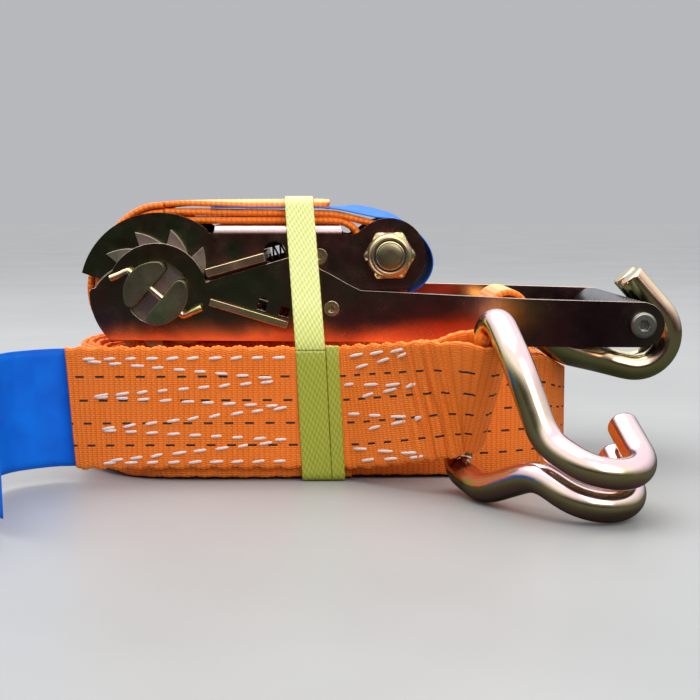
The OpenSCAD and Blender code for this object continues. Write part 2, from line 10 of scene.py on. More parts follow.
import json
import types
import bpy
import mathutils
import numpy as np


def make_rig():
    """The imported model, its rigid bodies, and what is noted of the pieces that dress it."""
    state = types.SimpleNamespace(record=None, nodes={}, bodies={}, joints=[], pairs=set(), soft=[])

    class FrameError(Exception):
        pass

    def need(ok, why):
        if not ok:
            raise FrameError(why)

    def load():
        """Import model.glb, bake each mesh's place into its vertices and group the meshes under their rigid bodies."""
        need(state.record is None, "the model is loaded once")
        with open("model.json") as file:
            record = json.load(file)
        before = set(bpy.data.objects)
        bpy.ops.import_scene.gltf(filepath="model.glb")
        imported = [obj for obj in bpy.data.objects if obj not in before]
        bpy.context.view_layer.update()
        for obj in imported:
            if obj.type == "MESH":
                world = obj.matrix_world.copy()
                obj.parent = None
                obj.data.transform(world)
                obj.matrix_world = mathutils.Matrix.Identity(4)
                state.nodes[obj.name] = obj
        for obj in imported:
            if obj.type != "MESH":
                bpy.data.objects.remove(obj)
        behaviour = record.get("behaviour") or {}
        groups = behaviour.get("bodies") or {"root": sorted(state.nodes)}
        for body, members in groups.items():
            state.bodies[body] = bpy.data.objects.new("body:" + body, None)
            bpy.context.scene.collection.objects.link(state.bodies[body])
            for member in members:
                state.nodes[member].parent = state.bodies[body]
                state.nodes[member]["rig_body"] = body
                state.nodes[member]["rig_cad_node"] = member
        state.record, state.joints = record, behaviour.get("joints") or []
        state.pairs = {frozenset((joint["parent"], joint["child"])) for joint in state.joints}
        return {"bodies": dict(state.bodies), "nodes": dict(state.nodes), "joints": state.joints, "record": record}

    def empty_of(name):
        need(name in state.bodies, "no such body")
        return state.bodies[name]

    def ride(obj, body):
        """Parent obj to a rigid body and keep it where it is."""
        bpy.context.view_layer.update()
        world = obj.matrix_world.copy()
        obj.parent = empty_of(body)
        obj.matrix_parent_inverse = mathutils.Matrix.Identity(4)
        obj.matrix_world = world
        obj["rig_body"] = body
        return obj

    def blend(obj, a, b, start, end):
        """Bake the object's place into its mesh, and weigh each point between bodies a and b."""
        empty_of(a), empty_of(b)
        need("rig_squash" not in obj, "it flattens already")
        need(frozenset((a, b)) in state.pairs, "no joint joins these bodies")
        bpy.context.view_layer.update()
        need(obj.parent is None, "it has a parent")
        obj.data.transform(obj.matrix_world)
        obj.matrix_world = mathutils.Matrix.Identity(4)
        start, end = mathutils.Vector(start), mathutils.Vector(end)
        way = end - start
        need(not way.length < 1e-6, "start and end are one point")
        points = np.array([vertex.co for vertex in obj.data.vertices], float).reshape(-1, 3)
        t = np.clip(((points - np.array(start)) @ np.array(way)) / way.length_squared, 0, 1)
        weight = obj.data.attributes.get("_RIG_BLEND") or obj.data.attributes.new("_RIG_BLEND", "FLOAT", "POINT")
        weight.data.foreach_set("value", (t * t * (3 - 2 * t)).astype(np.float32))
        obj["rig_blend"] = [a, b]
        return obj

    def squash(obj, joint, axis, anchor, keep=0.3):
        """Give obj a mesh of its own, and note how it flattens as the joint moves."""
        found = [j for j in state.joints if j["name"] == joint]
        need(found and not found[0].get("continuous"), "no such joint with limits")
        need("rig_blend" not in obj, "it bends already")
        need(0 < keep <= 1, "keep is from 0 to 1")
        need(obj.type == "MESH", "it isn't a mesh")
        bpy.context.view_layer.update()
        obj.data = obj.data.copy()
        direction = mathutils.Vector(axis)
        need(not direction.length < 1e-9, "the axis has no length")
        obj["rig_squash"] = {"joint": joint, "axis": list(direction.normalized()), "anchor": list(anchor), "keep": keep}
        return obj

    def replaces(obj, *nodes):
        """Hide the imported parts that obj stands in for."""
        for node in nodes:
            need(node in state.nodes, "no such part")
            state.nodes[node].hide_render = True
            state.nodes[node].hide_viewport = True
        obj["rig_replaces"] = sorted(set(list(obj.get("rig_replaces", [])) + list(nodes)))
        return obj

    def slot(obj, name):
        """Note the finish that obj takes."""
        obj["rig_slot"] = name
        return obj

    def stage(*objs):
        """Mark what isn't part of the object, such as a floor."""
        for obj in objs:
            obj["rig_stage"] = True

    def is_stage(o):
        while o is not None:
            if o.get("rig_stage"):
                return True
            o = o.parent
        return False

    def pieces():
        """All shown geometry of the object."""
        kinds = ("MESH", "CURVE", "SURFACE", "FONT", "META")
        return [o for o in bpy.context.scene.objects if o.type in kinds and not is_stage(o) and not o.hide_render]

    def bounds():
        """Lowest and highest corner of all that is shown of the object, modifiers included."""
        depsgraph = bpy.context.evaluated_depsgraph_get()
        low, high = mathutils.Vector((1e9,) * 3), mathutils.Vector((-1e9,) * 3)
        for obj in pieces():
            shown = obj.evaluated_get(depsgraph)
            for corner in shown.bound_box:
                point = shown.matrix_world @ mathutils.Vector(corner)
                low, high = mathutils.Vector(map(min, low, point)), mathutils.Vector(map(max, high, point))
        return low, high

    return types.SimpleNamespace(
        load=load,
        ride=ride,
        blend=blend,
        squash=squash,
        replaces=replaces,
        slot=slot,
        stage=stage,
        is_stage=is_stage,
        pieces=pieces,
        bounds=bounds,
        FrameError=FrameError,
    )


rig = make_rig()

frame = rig.load()

import json
import math
import random
from functools import partialmethod

import bmesh
import bpy
import numpy as np
from mathutils import Vector, noise

CAD_LOW, CAD_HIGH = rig.bounds()
MM = 0.001
X_AXIS, Y_AXIS, Z_AXIS = np.eye(3)

# ------------------------------------------------------------------ driving sizes (mm)
SPINDLE = np.array([-70.1, 75.5])        # (x, z) of the ratchet's spindle
BOLT = np.array([26.3, 90.7])            # (x, z) of the frame bolt
SHORT_HOOK = np.array([78, 0, 67.0])     # middle of each hook's crossbar
LONG_HOOK = np.array([55.94, -86.14, 40.77])
WIRE_R = 5.7                             # hook wire's radius

WEB_W, WEB_T = 50.0, 2.6                 # webbing
RIB_PITCH = 2.15                         # weft ribs along the webbing
CLOTH_T = 0.5                            # label cloth
BAND_W, BAND_T = 12, 0.6                 # packing band

LAYER = 3.0                              # pitch of the coil's layers
TURNS = 35                               # half turns in the coil
HALF_RUN = 53.5                          # half the coil's straight run
LEG_IN_Y = -(TURNS / 2 * LAYER) - LAYER / 4
LEG_OUT_Y = LEG_IN_Y - LAYER
LEG_Z = 5.2 + WEB_W / 2                  # mid height of the long strap's leg
BAND_Y = -LEG_OUT_Y + WEB_T / 2 + 0.25 + BAND_T / 2


# ------------------------------------------------------------------ points and paths
def unit(v):
    v = np.asarray(v, float)
    return v / np.linalg.norm(v)


def unit_rows(rows):
    return rows / np.linalg.norm(rows, axis=1)[:, None]


def polar(degrees):
    a = math.radians(degrees)
    return np.array([math.cos(a), math.sin(a)])


def upright(point, y=0.0):
    """A point (x, z) as (x, y, z)."""
    return np.array([point[0], y, point[1]])


def upright_all(points):
    return np.array([upright(p) for p in points])


def arc(centre, radius, start, end, count):
    """count + 1 points between two angles in degrees."""
    return [centre + radius * polar(start + (end - start) * i / count)
            for i in range(count + 1)]


def corner(before, tip, after, radius, count):
    """An arc that rounds the corner at tip."""
    before, tip, after = (np.array(p, float) for p in (before, tip, after))
    a, b = unit(before - tip), unit(after - tip)
    angle = math.acos(float(a @ b))
    reach = radius / math.tan(angle / 2)
    centre = tip + unit(a + b) * radius / math.sin(angle / 2)
    start, end = tip + a * reach - centre, tip + b * reach - centre
    sweep = math.pi - angle
    return [centre + (math.sin((1 - k / count) * sweep) * start
                      + math.sin(k / count * sweep) * end) / math.sin(sweep)
            for k in range(count + 1)]


def smooth(points, count=6):
    """A Catmull-Rom curve through the points, count steps to a span."""
    points = [np.array(p, float) for p in points]
    out, last = [], len(points) - 1
    for i in range(last):
        a, b, c, d = points[max(i - 1, 0)], points[i], points[i + 1], points[min(i + 2, last)]
        for k in range(count):
            t = k / count
            out.append(0.5 * ((2 * b) + (c - a) * t + (2 * a - 5 * b + 4 * c - d) * t * t
                              + (3 * b - a - 3 * c + d) * t ** 3))
    out.append(points[-1])
    return out


def resample(points, step, carried=None):
    """The path at even steps, the lengths along it, and the carried rows if there are any."""
    points = np.array(points, float)
    keep = np.r_[True, np.linalg.norm(np.diff(points, axis=0), axis=1) > 1e-6]
    points = points[keep]
    length = np.r_[0, np.cumsum(np.linalg.norm(np.diff(points, axis=0), axis=1))]
    count = max(2, int(round(length[-1] / step)) + 1)
    t = np.linspace(0, length[-1], count)

    def at_steps(rows):
        return np.stack([np.interp(t, length, column) for column in rows.T], 1)

    if carried is None:
        return at_steps(points), t
    return at_steps(points), t, at_steps(np.array(carried, float)[keep])


def soften(rows, times):
    rows = np.array(rows, float)
    for _ in range(times):
        rows[1:-1] = (rows[:-2] + 2 * rows[1:-1] + rows[2:]) / 4
    return rows


def soft_path(points, times, step=1.0):
    return soften(resample(points, step)[0], times)


def tangents(path):
    t = np.empty_like(path)
    t[1:-1] = path[2:] - path[:-2]
    t[0] = path[1] - path[0]
    t[-1] = path[-1] - path[-2]
    return unit_rows(t)


# ------------------------------------------------------------------ meshes
def face_outward(o):
    bm = bmesh.new()
    bm.from_mesh(o.data)
    bmesh.ops.recalc_face_normals(bm, faces=bm.faces)
    bm.to_mesh(o.data)
    bm.free()


def build_mesh(name, verts, faces, uvs=None, outward=True):
    """A smooth-shaded object from vertices in mm; uvs holds one pair per vertex."""
    me = bpy.data.meshes.new(name)
    me.from_pydata((np.array(verts, float) * MM).tolist(), [], faces)
    if uvs is not None:
        layer = me.uv_layers.new(name="UVMap")
        index = np.zeros(len(me.loops), np.int32)
        me.loops.foreach_get("vertex_index", index)
        layer.data.foreach_set("uv", np.asarray(uvs, np.float32)[index].ravel())
    me.polygons.foreach_set("use_smooth", [True] * len(me.polygons))
    me.update()
    o = bpy.data.objects.new(name, me)
    bpy.context.scene.collection.objects.link(o)
    if outward:
        face_outward(o)
    return o


def bridge(a, b, m):
    """Quads between two rings of m vertices that start at a and b."""
    return [(a + j, a + (j + 1) % m, b + (j + 1) % m, b + j) for j in range(m)]


def skin(rings, m, base=0):
    faces = []
    for i in range(rings - 1):
        faces += bridge(base + i * m, base + (i + 1) * m, m)
    return faces


def disc_ends(rings, m, base=0):
    last = base + (rings - 1) * m
    return [tuple(range(base + m - 1, base - 1, -1)), tuple(range(last, last + m))]


def cloth_end(base, cells, edge):
    """Closes the end of a cloth section: cells across each face, edge points round each side."""
    m = 2 * (cells + 1 + edge)
    top = base + 2 * cells + 1 + edge
    faces = [(base + k, base + k + 1, top - k - 1, top - k) for k in range(cells)]
    faces.append(tuple(range(base + cells, base + cells + edge + 2)))
    faces.append((*range(base + m - edge - 1, base + m), base))
    return faces


def tube(name, path, radius, m):
    """A round wire whose ends are cut flat, with a small rounded rim."""
    rim = ((0.80, 0.0), (0.93, 0.03), (1.0, 0.12))   # share of radius, set back in radii
    path = np.array(path, float)
    t = tangents(path)
    rings = [(path[0] + t[0] * back * radius, t[0], radius * f) for f, back in rim]
    rings += [(p, d, radius) for p, d in zip(path[1:-1], t[1:-1])]
    rings += [(path[-1] - t[-1] * back * radius, t[-1], radius * f) for f, back in rim[::-1]]

    normal = unit(np.cross(t[0], Z_AXIS if abs(t[0][2]) < 0.9 else X_AXIS))
    verts, uvs, s = [], [], 0.0
    for i, (centre, along, r) in enumerate(rings):
        normal = unit(normal - (normal @ along) * along)
        side = np.cross(along, normal)
        if i:
            s += float(np.linalg.norm(centre - rings[i - 1][0]))
        for j in range(m):
            a = 2 * math.pi * j / m
            verts.append(centre + r * (math.cos(a) * normal + math.sin(a) * side))
            uvs.append((s, r * a))
    faces = skin(len(rings), m) + disc_ends(len(rings), m)
    o = build_mesh(name, verts, faces, uvs, outward=False)
    for face in (o.data.polygons[-1], o.data.polygons[-2]):
        face.use_smooth = False
    return o


def strap(name, path, across, width, thick, step=0.58, cells=18, rib=0.10, scallop=0.22,
          wave=0.15, relief=None, end_round=0, seed=0, scale=1.0, slant=0.0):
    """Woven webbing along a path; returns the object and its path, width and face vectors.

    across: the width direction, one vector or one per point; scale: share of the width there
    rib, scallop, wave: height of the ribs, their bite into the edges, slow wander of the edges
    relief(s, v): extra push along the face's normal
    end_round, slant: corner radius and lean of the cut at the path's end
    UVs are millimetres along and across.
    """
    count = len(path)
    carried = np.column_stack([np.broadcast_to(across, (count, 3)),
                               np.broadcast_to(scale, count)])
    path, s, carried = resample(path, step, carried)
    scale = carried[:, 3]
    across = unit_rows(carried[:, :3])
    along = tangents(path)
    across = unit_rows(across - np.sum(across * along, 1)[:, None] * along)
    face = np.cross(along, across)

    # the section as (v across, n through, side): side is 0 on the faces, +-1 on the edges
    h, q = width / 2, thick / 2
    flat = width - 1.8 * q
    section = [(-h + q * 0.9 + flat * k / cells, -q, 0) for k in range(cells + 1)]
    for a in (-50, 0, 50):
        c, d = polar(a)
        section.append((h - q * 0.9 + q * 0.9 * c, q * d, 1))
    section += [(h - q * 0.9 - flat * k / cells, q, 0) for k in range(cells + 1)]
    for a in (130, 180, 230):
        c, d = polar(a)
        section.append((-h + q * 0.9 + q * 0.9 * c, q * d, -1))

    m, rings, left = len(section), len(path), s[-1] - s
    phase = 2 * math.pi * s / RIB_PITCH
    draws = np.random.default_rng(seed).normal(0, 1, rings + 40)
    jitter = np.convolve(draws, np.ones(9) / 9, "same")[20:20 + rings] * 0.10
    verts = np.zeros((rings, m, 3))
    uvs = np.zeros((rings, m, 2))
    for j, (v, n, side) in enumerate(section):
        wander = wave * np.sin(2 * math.pi * s / 8.3 + 1.3 * np.sin(s / 19.0 + side))
        out = (v + side * (scallop * (np.abs(np.sin(phase / 2)) - 0.5) + jitter)
               + np.sign(v) * (abs(v) > h - 4) * wander)
        lift = np.full(rings, float(n))
        if side == 0:
            lift += np.sign(n) * rib * np.cos(phase) * (1 if abs(v) < h - 1.5 else 0.5)
        if relief is not None:
            lift = lift + relief(s, v)
        verts[:, j] = path + (out * scale)[:, None] * across + lift[:, None] * face
        # the cut end's lean is a shear that dies out along the strap
        verts[:, j] += (slant * (v / h - 1) / 2 * np.exp(-left / 14.0))[:, None] * along
        if end_round:
            k = np.clip(1 - left / end_round, 0, 1)
            drop = np.sqrt(np.clip(end_round ** 2 - (end_round * k) ** 2, 0, None))
            over = np.clip(abs(v) - (h - end_round + drop), 0, None) * (left < end_round)
            verts[:, j] -= (np.sign(v) * over)[:, None] * across
        uvs[:, j, 0] = s
        uvs[:, j, 1] = v
    faces = skin(rings, m)
    faces += [f[::-1] for f in cloth_end(0, cells, 3)]
    faces += cloth_end((rings - 1) * m, cells, 3)
    o = build_mesh(name, verts.reshape(-1, 3), faces, uvs.reshape(-1, 2))
    return o, path, across, face


def sheet(name, path, across, width, thick, step=1.2, cells=14, relief=None):
    """A thin label or band along a path, with a soft edge. UVs are mm along and across."""
    path, s, across = resample(path, step, np.broadcast_to(across, (len(path), 3)))
    across = unit_rows(across)
    face = unit_rows(np.cross(tangents(path), across))
    h, q = width / 2, thick / 2
    flat = width - 2 * q
    section = [(-h + q + flat * k / cells, -q) for k in range(cells + 1)] + [(h, 0)]
    section += [(h - q - flat * k / cells, q) for k in range(cells + 1)] + [(-h, 0)]
    m, rings = len(section), len(path)
    verts, uvs = [], []
    for i in range(rings):
        for v, n in section:
            push = relief(s[i], v) if relief else 0.0
            verts.append(path[i] + v * across[i] + (n + push) * face[i])
            uvs.append((s[i], v))
    faces = skin(rings, m) + cloth_end(0, cells, 1) + cloth_end((rings - 1) * m, cells, 1)
    return build_mesh(name, verts, faces, uvs)


def threads(name, items, radius, flat, m):
    """Short threads lying on cloth, sunk at both ends; items are (start, end, up)."""
    # share of the length, share of the radius, lift in radii
    rings = [(-0.02, 0.25, -0.55), (0.05, 0.72, -0.2), (0.18, 0.95, 0.12), (0.5, 1.05, 0.25),
             (0.82, 0.95, 0.12), (0.95, 0.72, -0.2), (1.02, 0.25, -0.55)]
    verts, faces = [], []
    for start, end, up in items:
        up = unit(up)
        along = unit(end - start)
        side = unit(np.cross(along, up))
        length = float(np.linalg.norm(end - start))
        base = len(verts)
        for f, k, lift in rings:
            centre = start + along * length * f + up * lift * radius
            for j in range(m):
                a = 2 * math.pi * j / m
                verts.append(centre + k * radius * (math.cos(a) * side
                                                    + flat * math.sin(a) * up))
        faces += skin(len(rings), m, base) + disc_ends(len(rings), m, base)
    return build_mesh(name, verts, faces)


def lathe(name, profile, centre, m=64):
    """A part turned about an axis along Y; profile is (y, r), where r = 0 is on the axis."""
    verts, faces, rings = [], [], []
    for y, r in profile:
        count = m if r > 1e-6 else 1
        rings.append(range(len(verts), len(verts) + count))
        for j in range(count):
            a = 2 * math.pi * j / m
            verts.append((centre[0] + r * math.cos(a), y, centre[1] + r * math.sin(a)))
    for a, b in zip(rings[:-1], rings[1:]):
        if len(a) == 1 and len(b) == 1:
            continue
        for j in range(m):
            k = (j + 1) % m
            if len(a) == 1:
                faces.append((a[0], b[k], b[j]))
            elif len(b) == 1:
                faces.append((a[j], a[k], b[0]))
            else:
                faces.append((a[j], a[k], b[k], b[j]))
    return build_mesh(name, verts, faces)


def sharpen(o, angle):
    """Keeps edges over this angle crisp on a smooth-shaded mesh."""
    bm = bmesh.new()
    bm.from_mesh(o.data)
    for e in bm.edges:
        hard = len(e.link_faces) == 2 and e.calc_face_angle(0) > math.radians(angle)
        e.smooth = not hard
    bm.to_mesh(o.data)
    bm.free()


# ------------------------------------------------------------------ shader building
BLACK, WHITE = (0, 0, 0), (1, 1, 1)


class Shader:
    """A node tree with short calls that add nodes, most of which return an output socket."""

    def __init__(self, tree):
        self.tree = tree
        tree.nodes.clear()

    def put(self, value, socket):
        """Links a socket, or sets a number, vector or RGB colour."""
        if isinstance(value, bpy.types.NodeSocket):
            self.tree.links.new(value, socket)
        elif socket.type == "RGBA":
            socket.default_value = (*value, 1)
        else:
            socket.default_value = value

    def node(self, kind, **inputs):
        node = self.tree.nodes.new("ShaderNode" + kind)
        for name, value in inputs.items():
            self.put(value, node.inputs[name])
        return node

    def coord(self, output="Object"):
        return self.node("TexCoord").outputs[output]

    def uv(self):
        node = self.node("UVMap")
        node.uv_map = "UVMap"
        return node.outputs["UV"]

    def split(self, vector):
        return list(self.node("SeparateXYZ", Vector=vector).outputs)

    def normal_z(self):
        return self.split(self.node("NewGeometry").outputs["Normal"])[2]

    def facing(self, **inputs):
        return self.node("LayerWeight", **inputs).outputs["Facing"]

    def noise(self, **inputs):
        return self.node("TexNoise", **inputs).outputs["Fac"]

    def stretched(self, vector, scale):
        return self.node("Mapping", Vector=vector, Scale=scale).outputs["Vector"]

    def math(self, operation, *values, clamp=False):
        node = self.node("Math")
        node.operation = operation
        node.use_clamp = clamp
        for value, socket in zip(values, node.inputs):
            self.put(value, socket)
        return node.outputs[0]

    add = partialmethod(math, "ADD")
    sub = partialmethod(math, "SUBTRACT")
    mul = partialmethod(math, "MULTIPLY")
    div = partialmethod(math, "DIVIDE")
    mul_add = partialmethod(math, "MULTIPLY_ADD")

    def sine(self, value, pitch):
        """A sine that repeats every pitch."""
        return self.math("SINE", self.mul(value, 2 * math.pi / pitch))

    def ridges(self, value, pitch, power):
        """Rounded ridges one pitch wide, with grooves between them."""
        half_wave = self.math("SINE", self.mul(value, math.pi / pitch))
        return self.math("POWER", self.math("ABSOLUTE", half_wave), power)

    def ramp(self, fac, stops):
        """A colour ramp; stops are (position, RGB)."""
        node = self.node("ValToRGB", Fac=fac)
        elements = node.color_ramp.elements
        while len(elements) > 1:
            elements.remove(elements[0])
        elements[0].position = stops[0][0]
        elements[0].color = (*stops[0][1], 1)
        for position, colour in stops[1:]:
            elements.new(position).color = (*colour, 1)
        return node.outputs["Color"]

    def fade(self, fac, start, end):
        """0 up to start, 1 from end on."""
        return self.ramp(fac, [(start, BLACK), (end, WHITE)])

    def mix(self, factor, a, b, mode="MIX"):
        node = self.node("Mix")
        node.data_type = "RGBA"
        node.blend_type = mode
        node.clamp_factor = True
        # sockets 0, 6 and 7 are the float factor and the two colours
        for value, index in ((factor, 0), (a, 6), (b, 7)):
            self.put(value, node.inputs[index])
        return node.outputs[2]

    def surface(self, inputs):
        for name, value in inputs.items():
            self.put(value, self.bsdf.inputs[name])

    def bump(self, height, strength, distance):
        node = self.node("Bump", Strength=strength, Distance=distance, Height=height)
        self.surface({"Normal": node.outputs["Normal"]})


def new_material(name):
    material = bpy.data.materials.new(name)
    material.use_nodes = True
    sh = Shader(material.node_tree)
    sh.out = sh.node("OutputMaterial")
    sh.bsdf = sh.node("BsdfPrincipled")
    sh.put(sh.bsdf.outputs["BSDF"], sh.out.inputs["Surface"])
    return material, sh


# ------------------------------------------------------------------ materials
def zinc(name, tones, edge, rough=0.24, blotch=38.0, wear=0.5, grain=0.12,
         top=None, low=None, film_and_light=None, zones=()):
    """Yellow-chromate zinc plating: blotchy thin-film hues over metal, with a fine grain.

    tones: hues of the blotches; edge: painted highlight hue at glancing angles; top: painted highlight hue of upward
    faces
    blotch: scale of the blotches; wear: strength of the dark specks; grain: of the bump
    low: (z of full effect, z of none, hue, amount), a painted reflection of the strap, as a tint towards the lower edge
    film_and_light: ramp of hues over the way the surface faces, from down to up; film hues mixed with painted shade on
    faces turned down and a painted highlight on faces turned up
    zones: (x, z, x radius, z radius, hue, amount), soft patches
    """
    material, sh = new_material(name)
    place = sh.coord()
    blotches = sh.noise(Vector=place, Scale=blotch, Detail=3.0, Roughness=0.55, Distortion=0.8)
    # the tones share the middle 0.4 of the noise's range
    spread = 0.40 / (len(tones) - 1)
    colour = sh.ramp(blotches, [(0.30 + spread * i, tone) for i, tone in enumerate(tones)])
    # painted highlight: faces seen at a slant, such as rims and bevels, take the lighter edge hue
    grazing_highlight = sh.fade(sh.facing(Blend=0.42), start=0.25, end=0.95)
    colour = sh.mix(sh.mul(grazing_highlight, 0.75), colour, edge)
    if zones or low:
        x, _, z = sh.split(place)
    for zone_x, zone_z, radius_x, radius_z, hue, amount in zones:
        # a bell of one radius each way
        dx = sh.math("POWER", sh.mul_add(x, 1 / radius_x, -zone_x / radius_x), 2.0)
        dz = sh.math("POWER", sh.mul_add(z, 1 / radius_z, -zone_z / radius_z), 2.0)
        bell = sh.math("EXPONENT", sh.mul(sh.add(dx, dz), -1.0))
        colour = sh.mix(sh.mul(bell, amount), colour, hue)
    if low is None:
        metallic = 1.0
    else:
        z_full, z_none, hue, amount = low
        wobble = 0.022                  # how far the blotches shift the border of the painted reflection
        fade_x, fade_run = 0.073, 0.014     # the painted reflection is gone at this x, over this run
        border = sh.add(z, sh.mul(sh.sub(blotches, 0.5), wobble))
        reflection_mask = sh.div(sh.sub(z_none, border), z_none - z_full, clamp=True)
        reflection_mask = sh.mul(reflection_mask, sh.div(sh.sub(fade_x, x), fade_run, clamp=True))
        # painted reflection of the strap: its hue mixed in towards the lower edge
        colour = sh.mix(sh.mul(reflection_mask, amount), colour, hue)
        # a strong painted reflection also takes away the metal, so that it shows as a glow
        loss = 0.9 if amount > 0.7 else 0.0
        metallic = sh.sub(1.0, sh.mul(sh.mul(reflection_mask, reflection_mask), loss))
    # painted light over the film's hues: darker hues on faces turned down are painted shade, lighter ones on faces
    # turned up a painted highlight
    if film_and_light is not None:
        # half of the facing's z, shifted by the blotches
        turn = sh.add(sh.mul(sh.normal_z(), 0.5), sh.mul_add(blotches, 0.42, 0.29))
        colour = sh.mix(0.85, colour, sh.ramp(turn, film_and_light))
    # painted highlight: upward faces take the top hue, where the sky would reflect in them
    if top is not None:
        colour = sh.mix(sh.fade(sh.normal_z(), start=0.12, end=0.55), colour, top)
    specks = sh.noise(Vector=place, Scale=900.0, Detail=4.0, Roughness=0.7)
    specks = sh.ramp(specks, [(0.33, (0.45, 0.45, 0.45)), (0.47, WHITE)])
    colour = sh.mix(wear, colour, specks, "MULTIPLY")
    uneven = sh.noise(Vector=place, Scale=140.0, Detail=5.0, Roughness=0.6)
    # the roughness ranges over 0.30, most of it close to the value asked for
    sh.surface({"Base Color": colour, "Metallic": metallic,
                "Roughness": sh.mul_add(uneven, 0.30, rough - 0.13)})
    rolled = sh.noise(Vector=sh.stretched(place, (1.0, 1.0, 0.12)), Scale=2400.0, Detail=2.0)
    sh.bump(rolled, strength=grain, distance=0.0002)
    return material


def webbing(name, pale=0.0):
    """Orange woven polyester, by millimetre UVs; pale is the strength of a painted sheen that turns upward faces seen
    at a slant pale peach.
    """
    yarn_pitch = 0.86
    dash_rows, dash_half = (12.8, 3.2, -6.1, -15.1), 0.43    # marker yarns: v and half width
    dash_pitch, dash_share, dash_shift = 8.3, 0.44, 0.13     # share filled, shift per row
    tone = (1.0, 0.195, 0.0)
    # painted shade for the grooves, and a painted highlight for the crests
    groove_shade = (tone[0] * 0.58, tone[1] * 0.36, 0.0)
    light = (1.0, tone[1] * 1.5, 0.01)

    material, sh = new_material(name)
    uv = sh.uv()
    u, v, _ = sh.split(uv)
    ribs = sh.ridges(u, RIB_PITCH, power=0.55)
    # warp yarns: rows along the strap, every second one stepped by half a rib
    row = sh.math("FLOOR", sh.mul(v, 1 / yarn_pitch))
    step = sh.mul(sh.math("MODULO", sh.math("ABSOLUTE", row), 2.0), math.pi)
    warp = sh.math("SINE", sh.add(sh.mul(u, 2 * math.pi / RIB_PITCH), step))
    yarn = sh.ridges(v, yarn_pitch, power=0.7)
    # heights: full for the weave, 0.22 for the stepping, 0.7 for the loose fibres
    weave = sh.add(sh.mul(sh.mul(yarn, ribs), 1.0), sh.mul(sh.mul(warp, yarn), 0.22))
    fibres = sh.noise(Vector=sh.stretched(uv, (1.6, 9.0, 1.0)), Scale=1.0, Detail=3.0,
                      Roughness=0.7)
    height = sh.add(weave, sh.mul(fibres, 0.7))
    fading = sh.noise(Vector=uv, Scale=0.05, Detail=3.0)
    # painted shade: the deep colour in the grooves; painted highlight: the light colour on the crests
    shade = sh.mul_add(height, 0.55, -0.05, clamp=True)
    colour = sh.ramp(shade, [(0.0, groove_shade), (0.42, tone), (0.95, light)])
    faded = sh.mul(sh.fade(fading, start=0.40, end=0.62), 0.25)
    colour = sh.mix(faded, colour, (1.0, 0.24, 0.02))
    marks = None
    for k, row_v in enumerate(dash_rows):
        away = sh.math("ABSOLUTE", sh.sub(v, row_v))
        in_row = sh.math("LESS_THAN", away, dash_half)
        phase = sh.math("FRACT", sh.add(sh.mul(u, 1 / dash_pitch), dash_shift * k))
        mark = sh.mul(in_row, sh.math("LESS_THAN", phase, dash_share))
        marks = mark if marks is None else sh.math("MAXIMUM", marks, mark)
    colour = sh.mix(marks, colour, (0.012, 0.008, 0.008))
    # painted sheen: the sky's reflection on upward faces seen at a slant, painted in as a pale peach
    if pale > 0:
        up = sh.normal_z()
        slanted = sh.facing(Blend=0.5)
        sheen_mask = sh.mul(sh.fade(up, start=0.60, end=0.95),
                          sh.fade(slanted, start=0.72, end=0.90))
        colour = sh.mix(sh.mul(sheen_mask, pale), colour, (1.0, 0.62, 0.30))
    sh.surface({"Base Color": colour, "Roughness": 0.62, "Sheen Weight": 0.05,
                "Sheen Roughness": 0.4, "Sheen Tint": (1.0, 0.45, 0.12),
                "Subsurface Weight": 0.12, "Subsurface Radius": (0.002, 0.0006, 0.0002),
                "Subsurface Scale": 1.0})
    sh.bump(height, strength=0.75, distance=0.00035)
    return material


def woven_label(name):
    """Blue label cloth, by millimetre UVs."""
    weave_pitch, hem_v = 0.5, 22.6
    material, sh = new_material(name)
    uv = sh.uv()
    u, v, _ = sh.split(uv)
    weave = sh.mul(sh.sine(u, weave_pitch), sh.sine(v, weave_pitch))
    patches = sh.noise(Vector=uv, Scale=0.06, Detail=4.0)
    colour = sh.ramp(patches, [(0.3, (0.0, 0.125, 0.70)), (0.7, (0.0, 0.20, 0.92))])
    # the weave darkens by 0.12, give or take 0.10
    colour = sh.mix(sh.mul_add(weave, 0.10, 0.12, clamp=True), colour, (0.0, 0.06, 0.42))
    # a hemmed edge, a little darker
    hem = sh.math("GREATER_THAN", sh.math("ABSOLUTE", v), hem_v)
    colour = sh.mix(sh.mul(hem, 0.30), colour, (0.0, 0.05, 0.36))
    sh.surface({"Base Color": colour, "Roughness": 0.42, "Specular IOR Level": 0.18,
                "Sheen Tint": (0.45, 0.85, 1.0)})
    sh.bump(weave, strength=0.35, distance=0.0001)
    return material


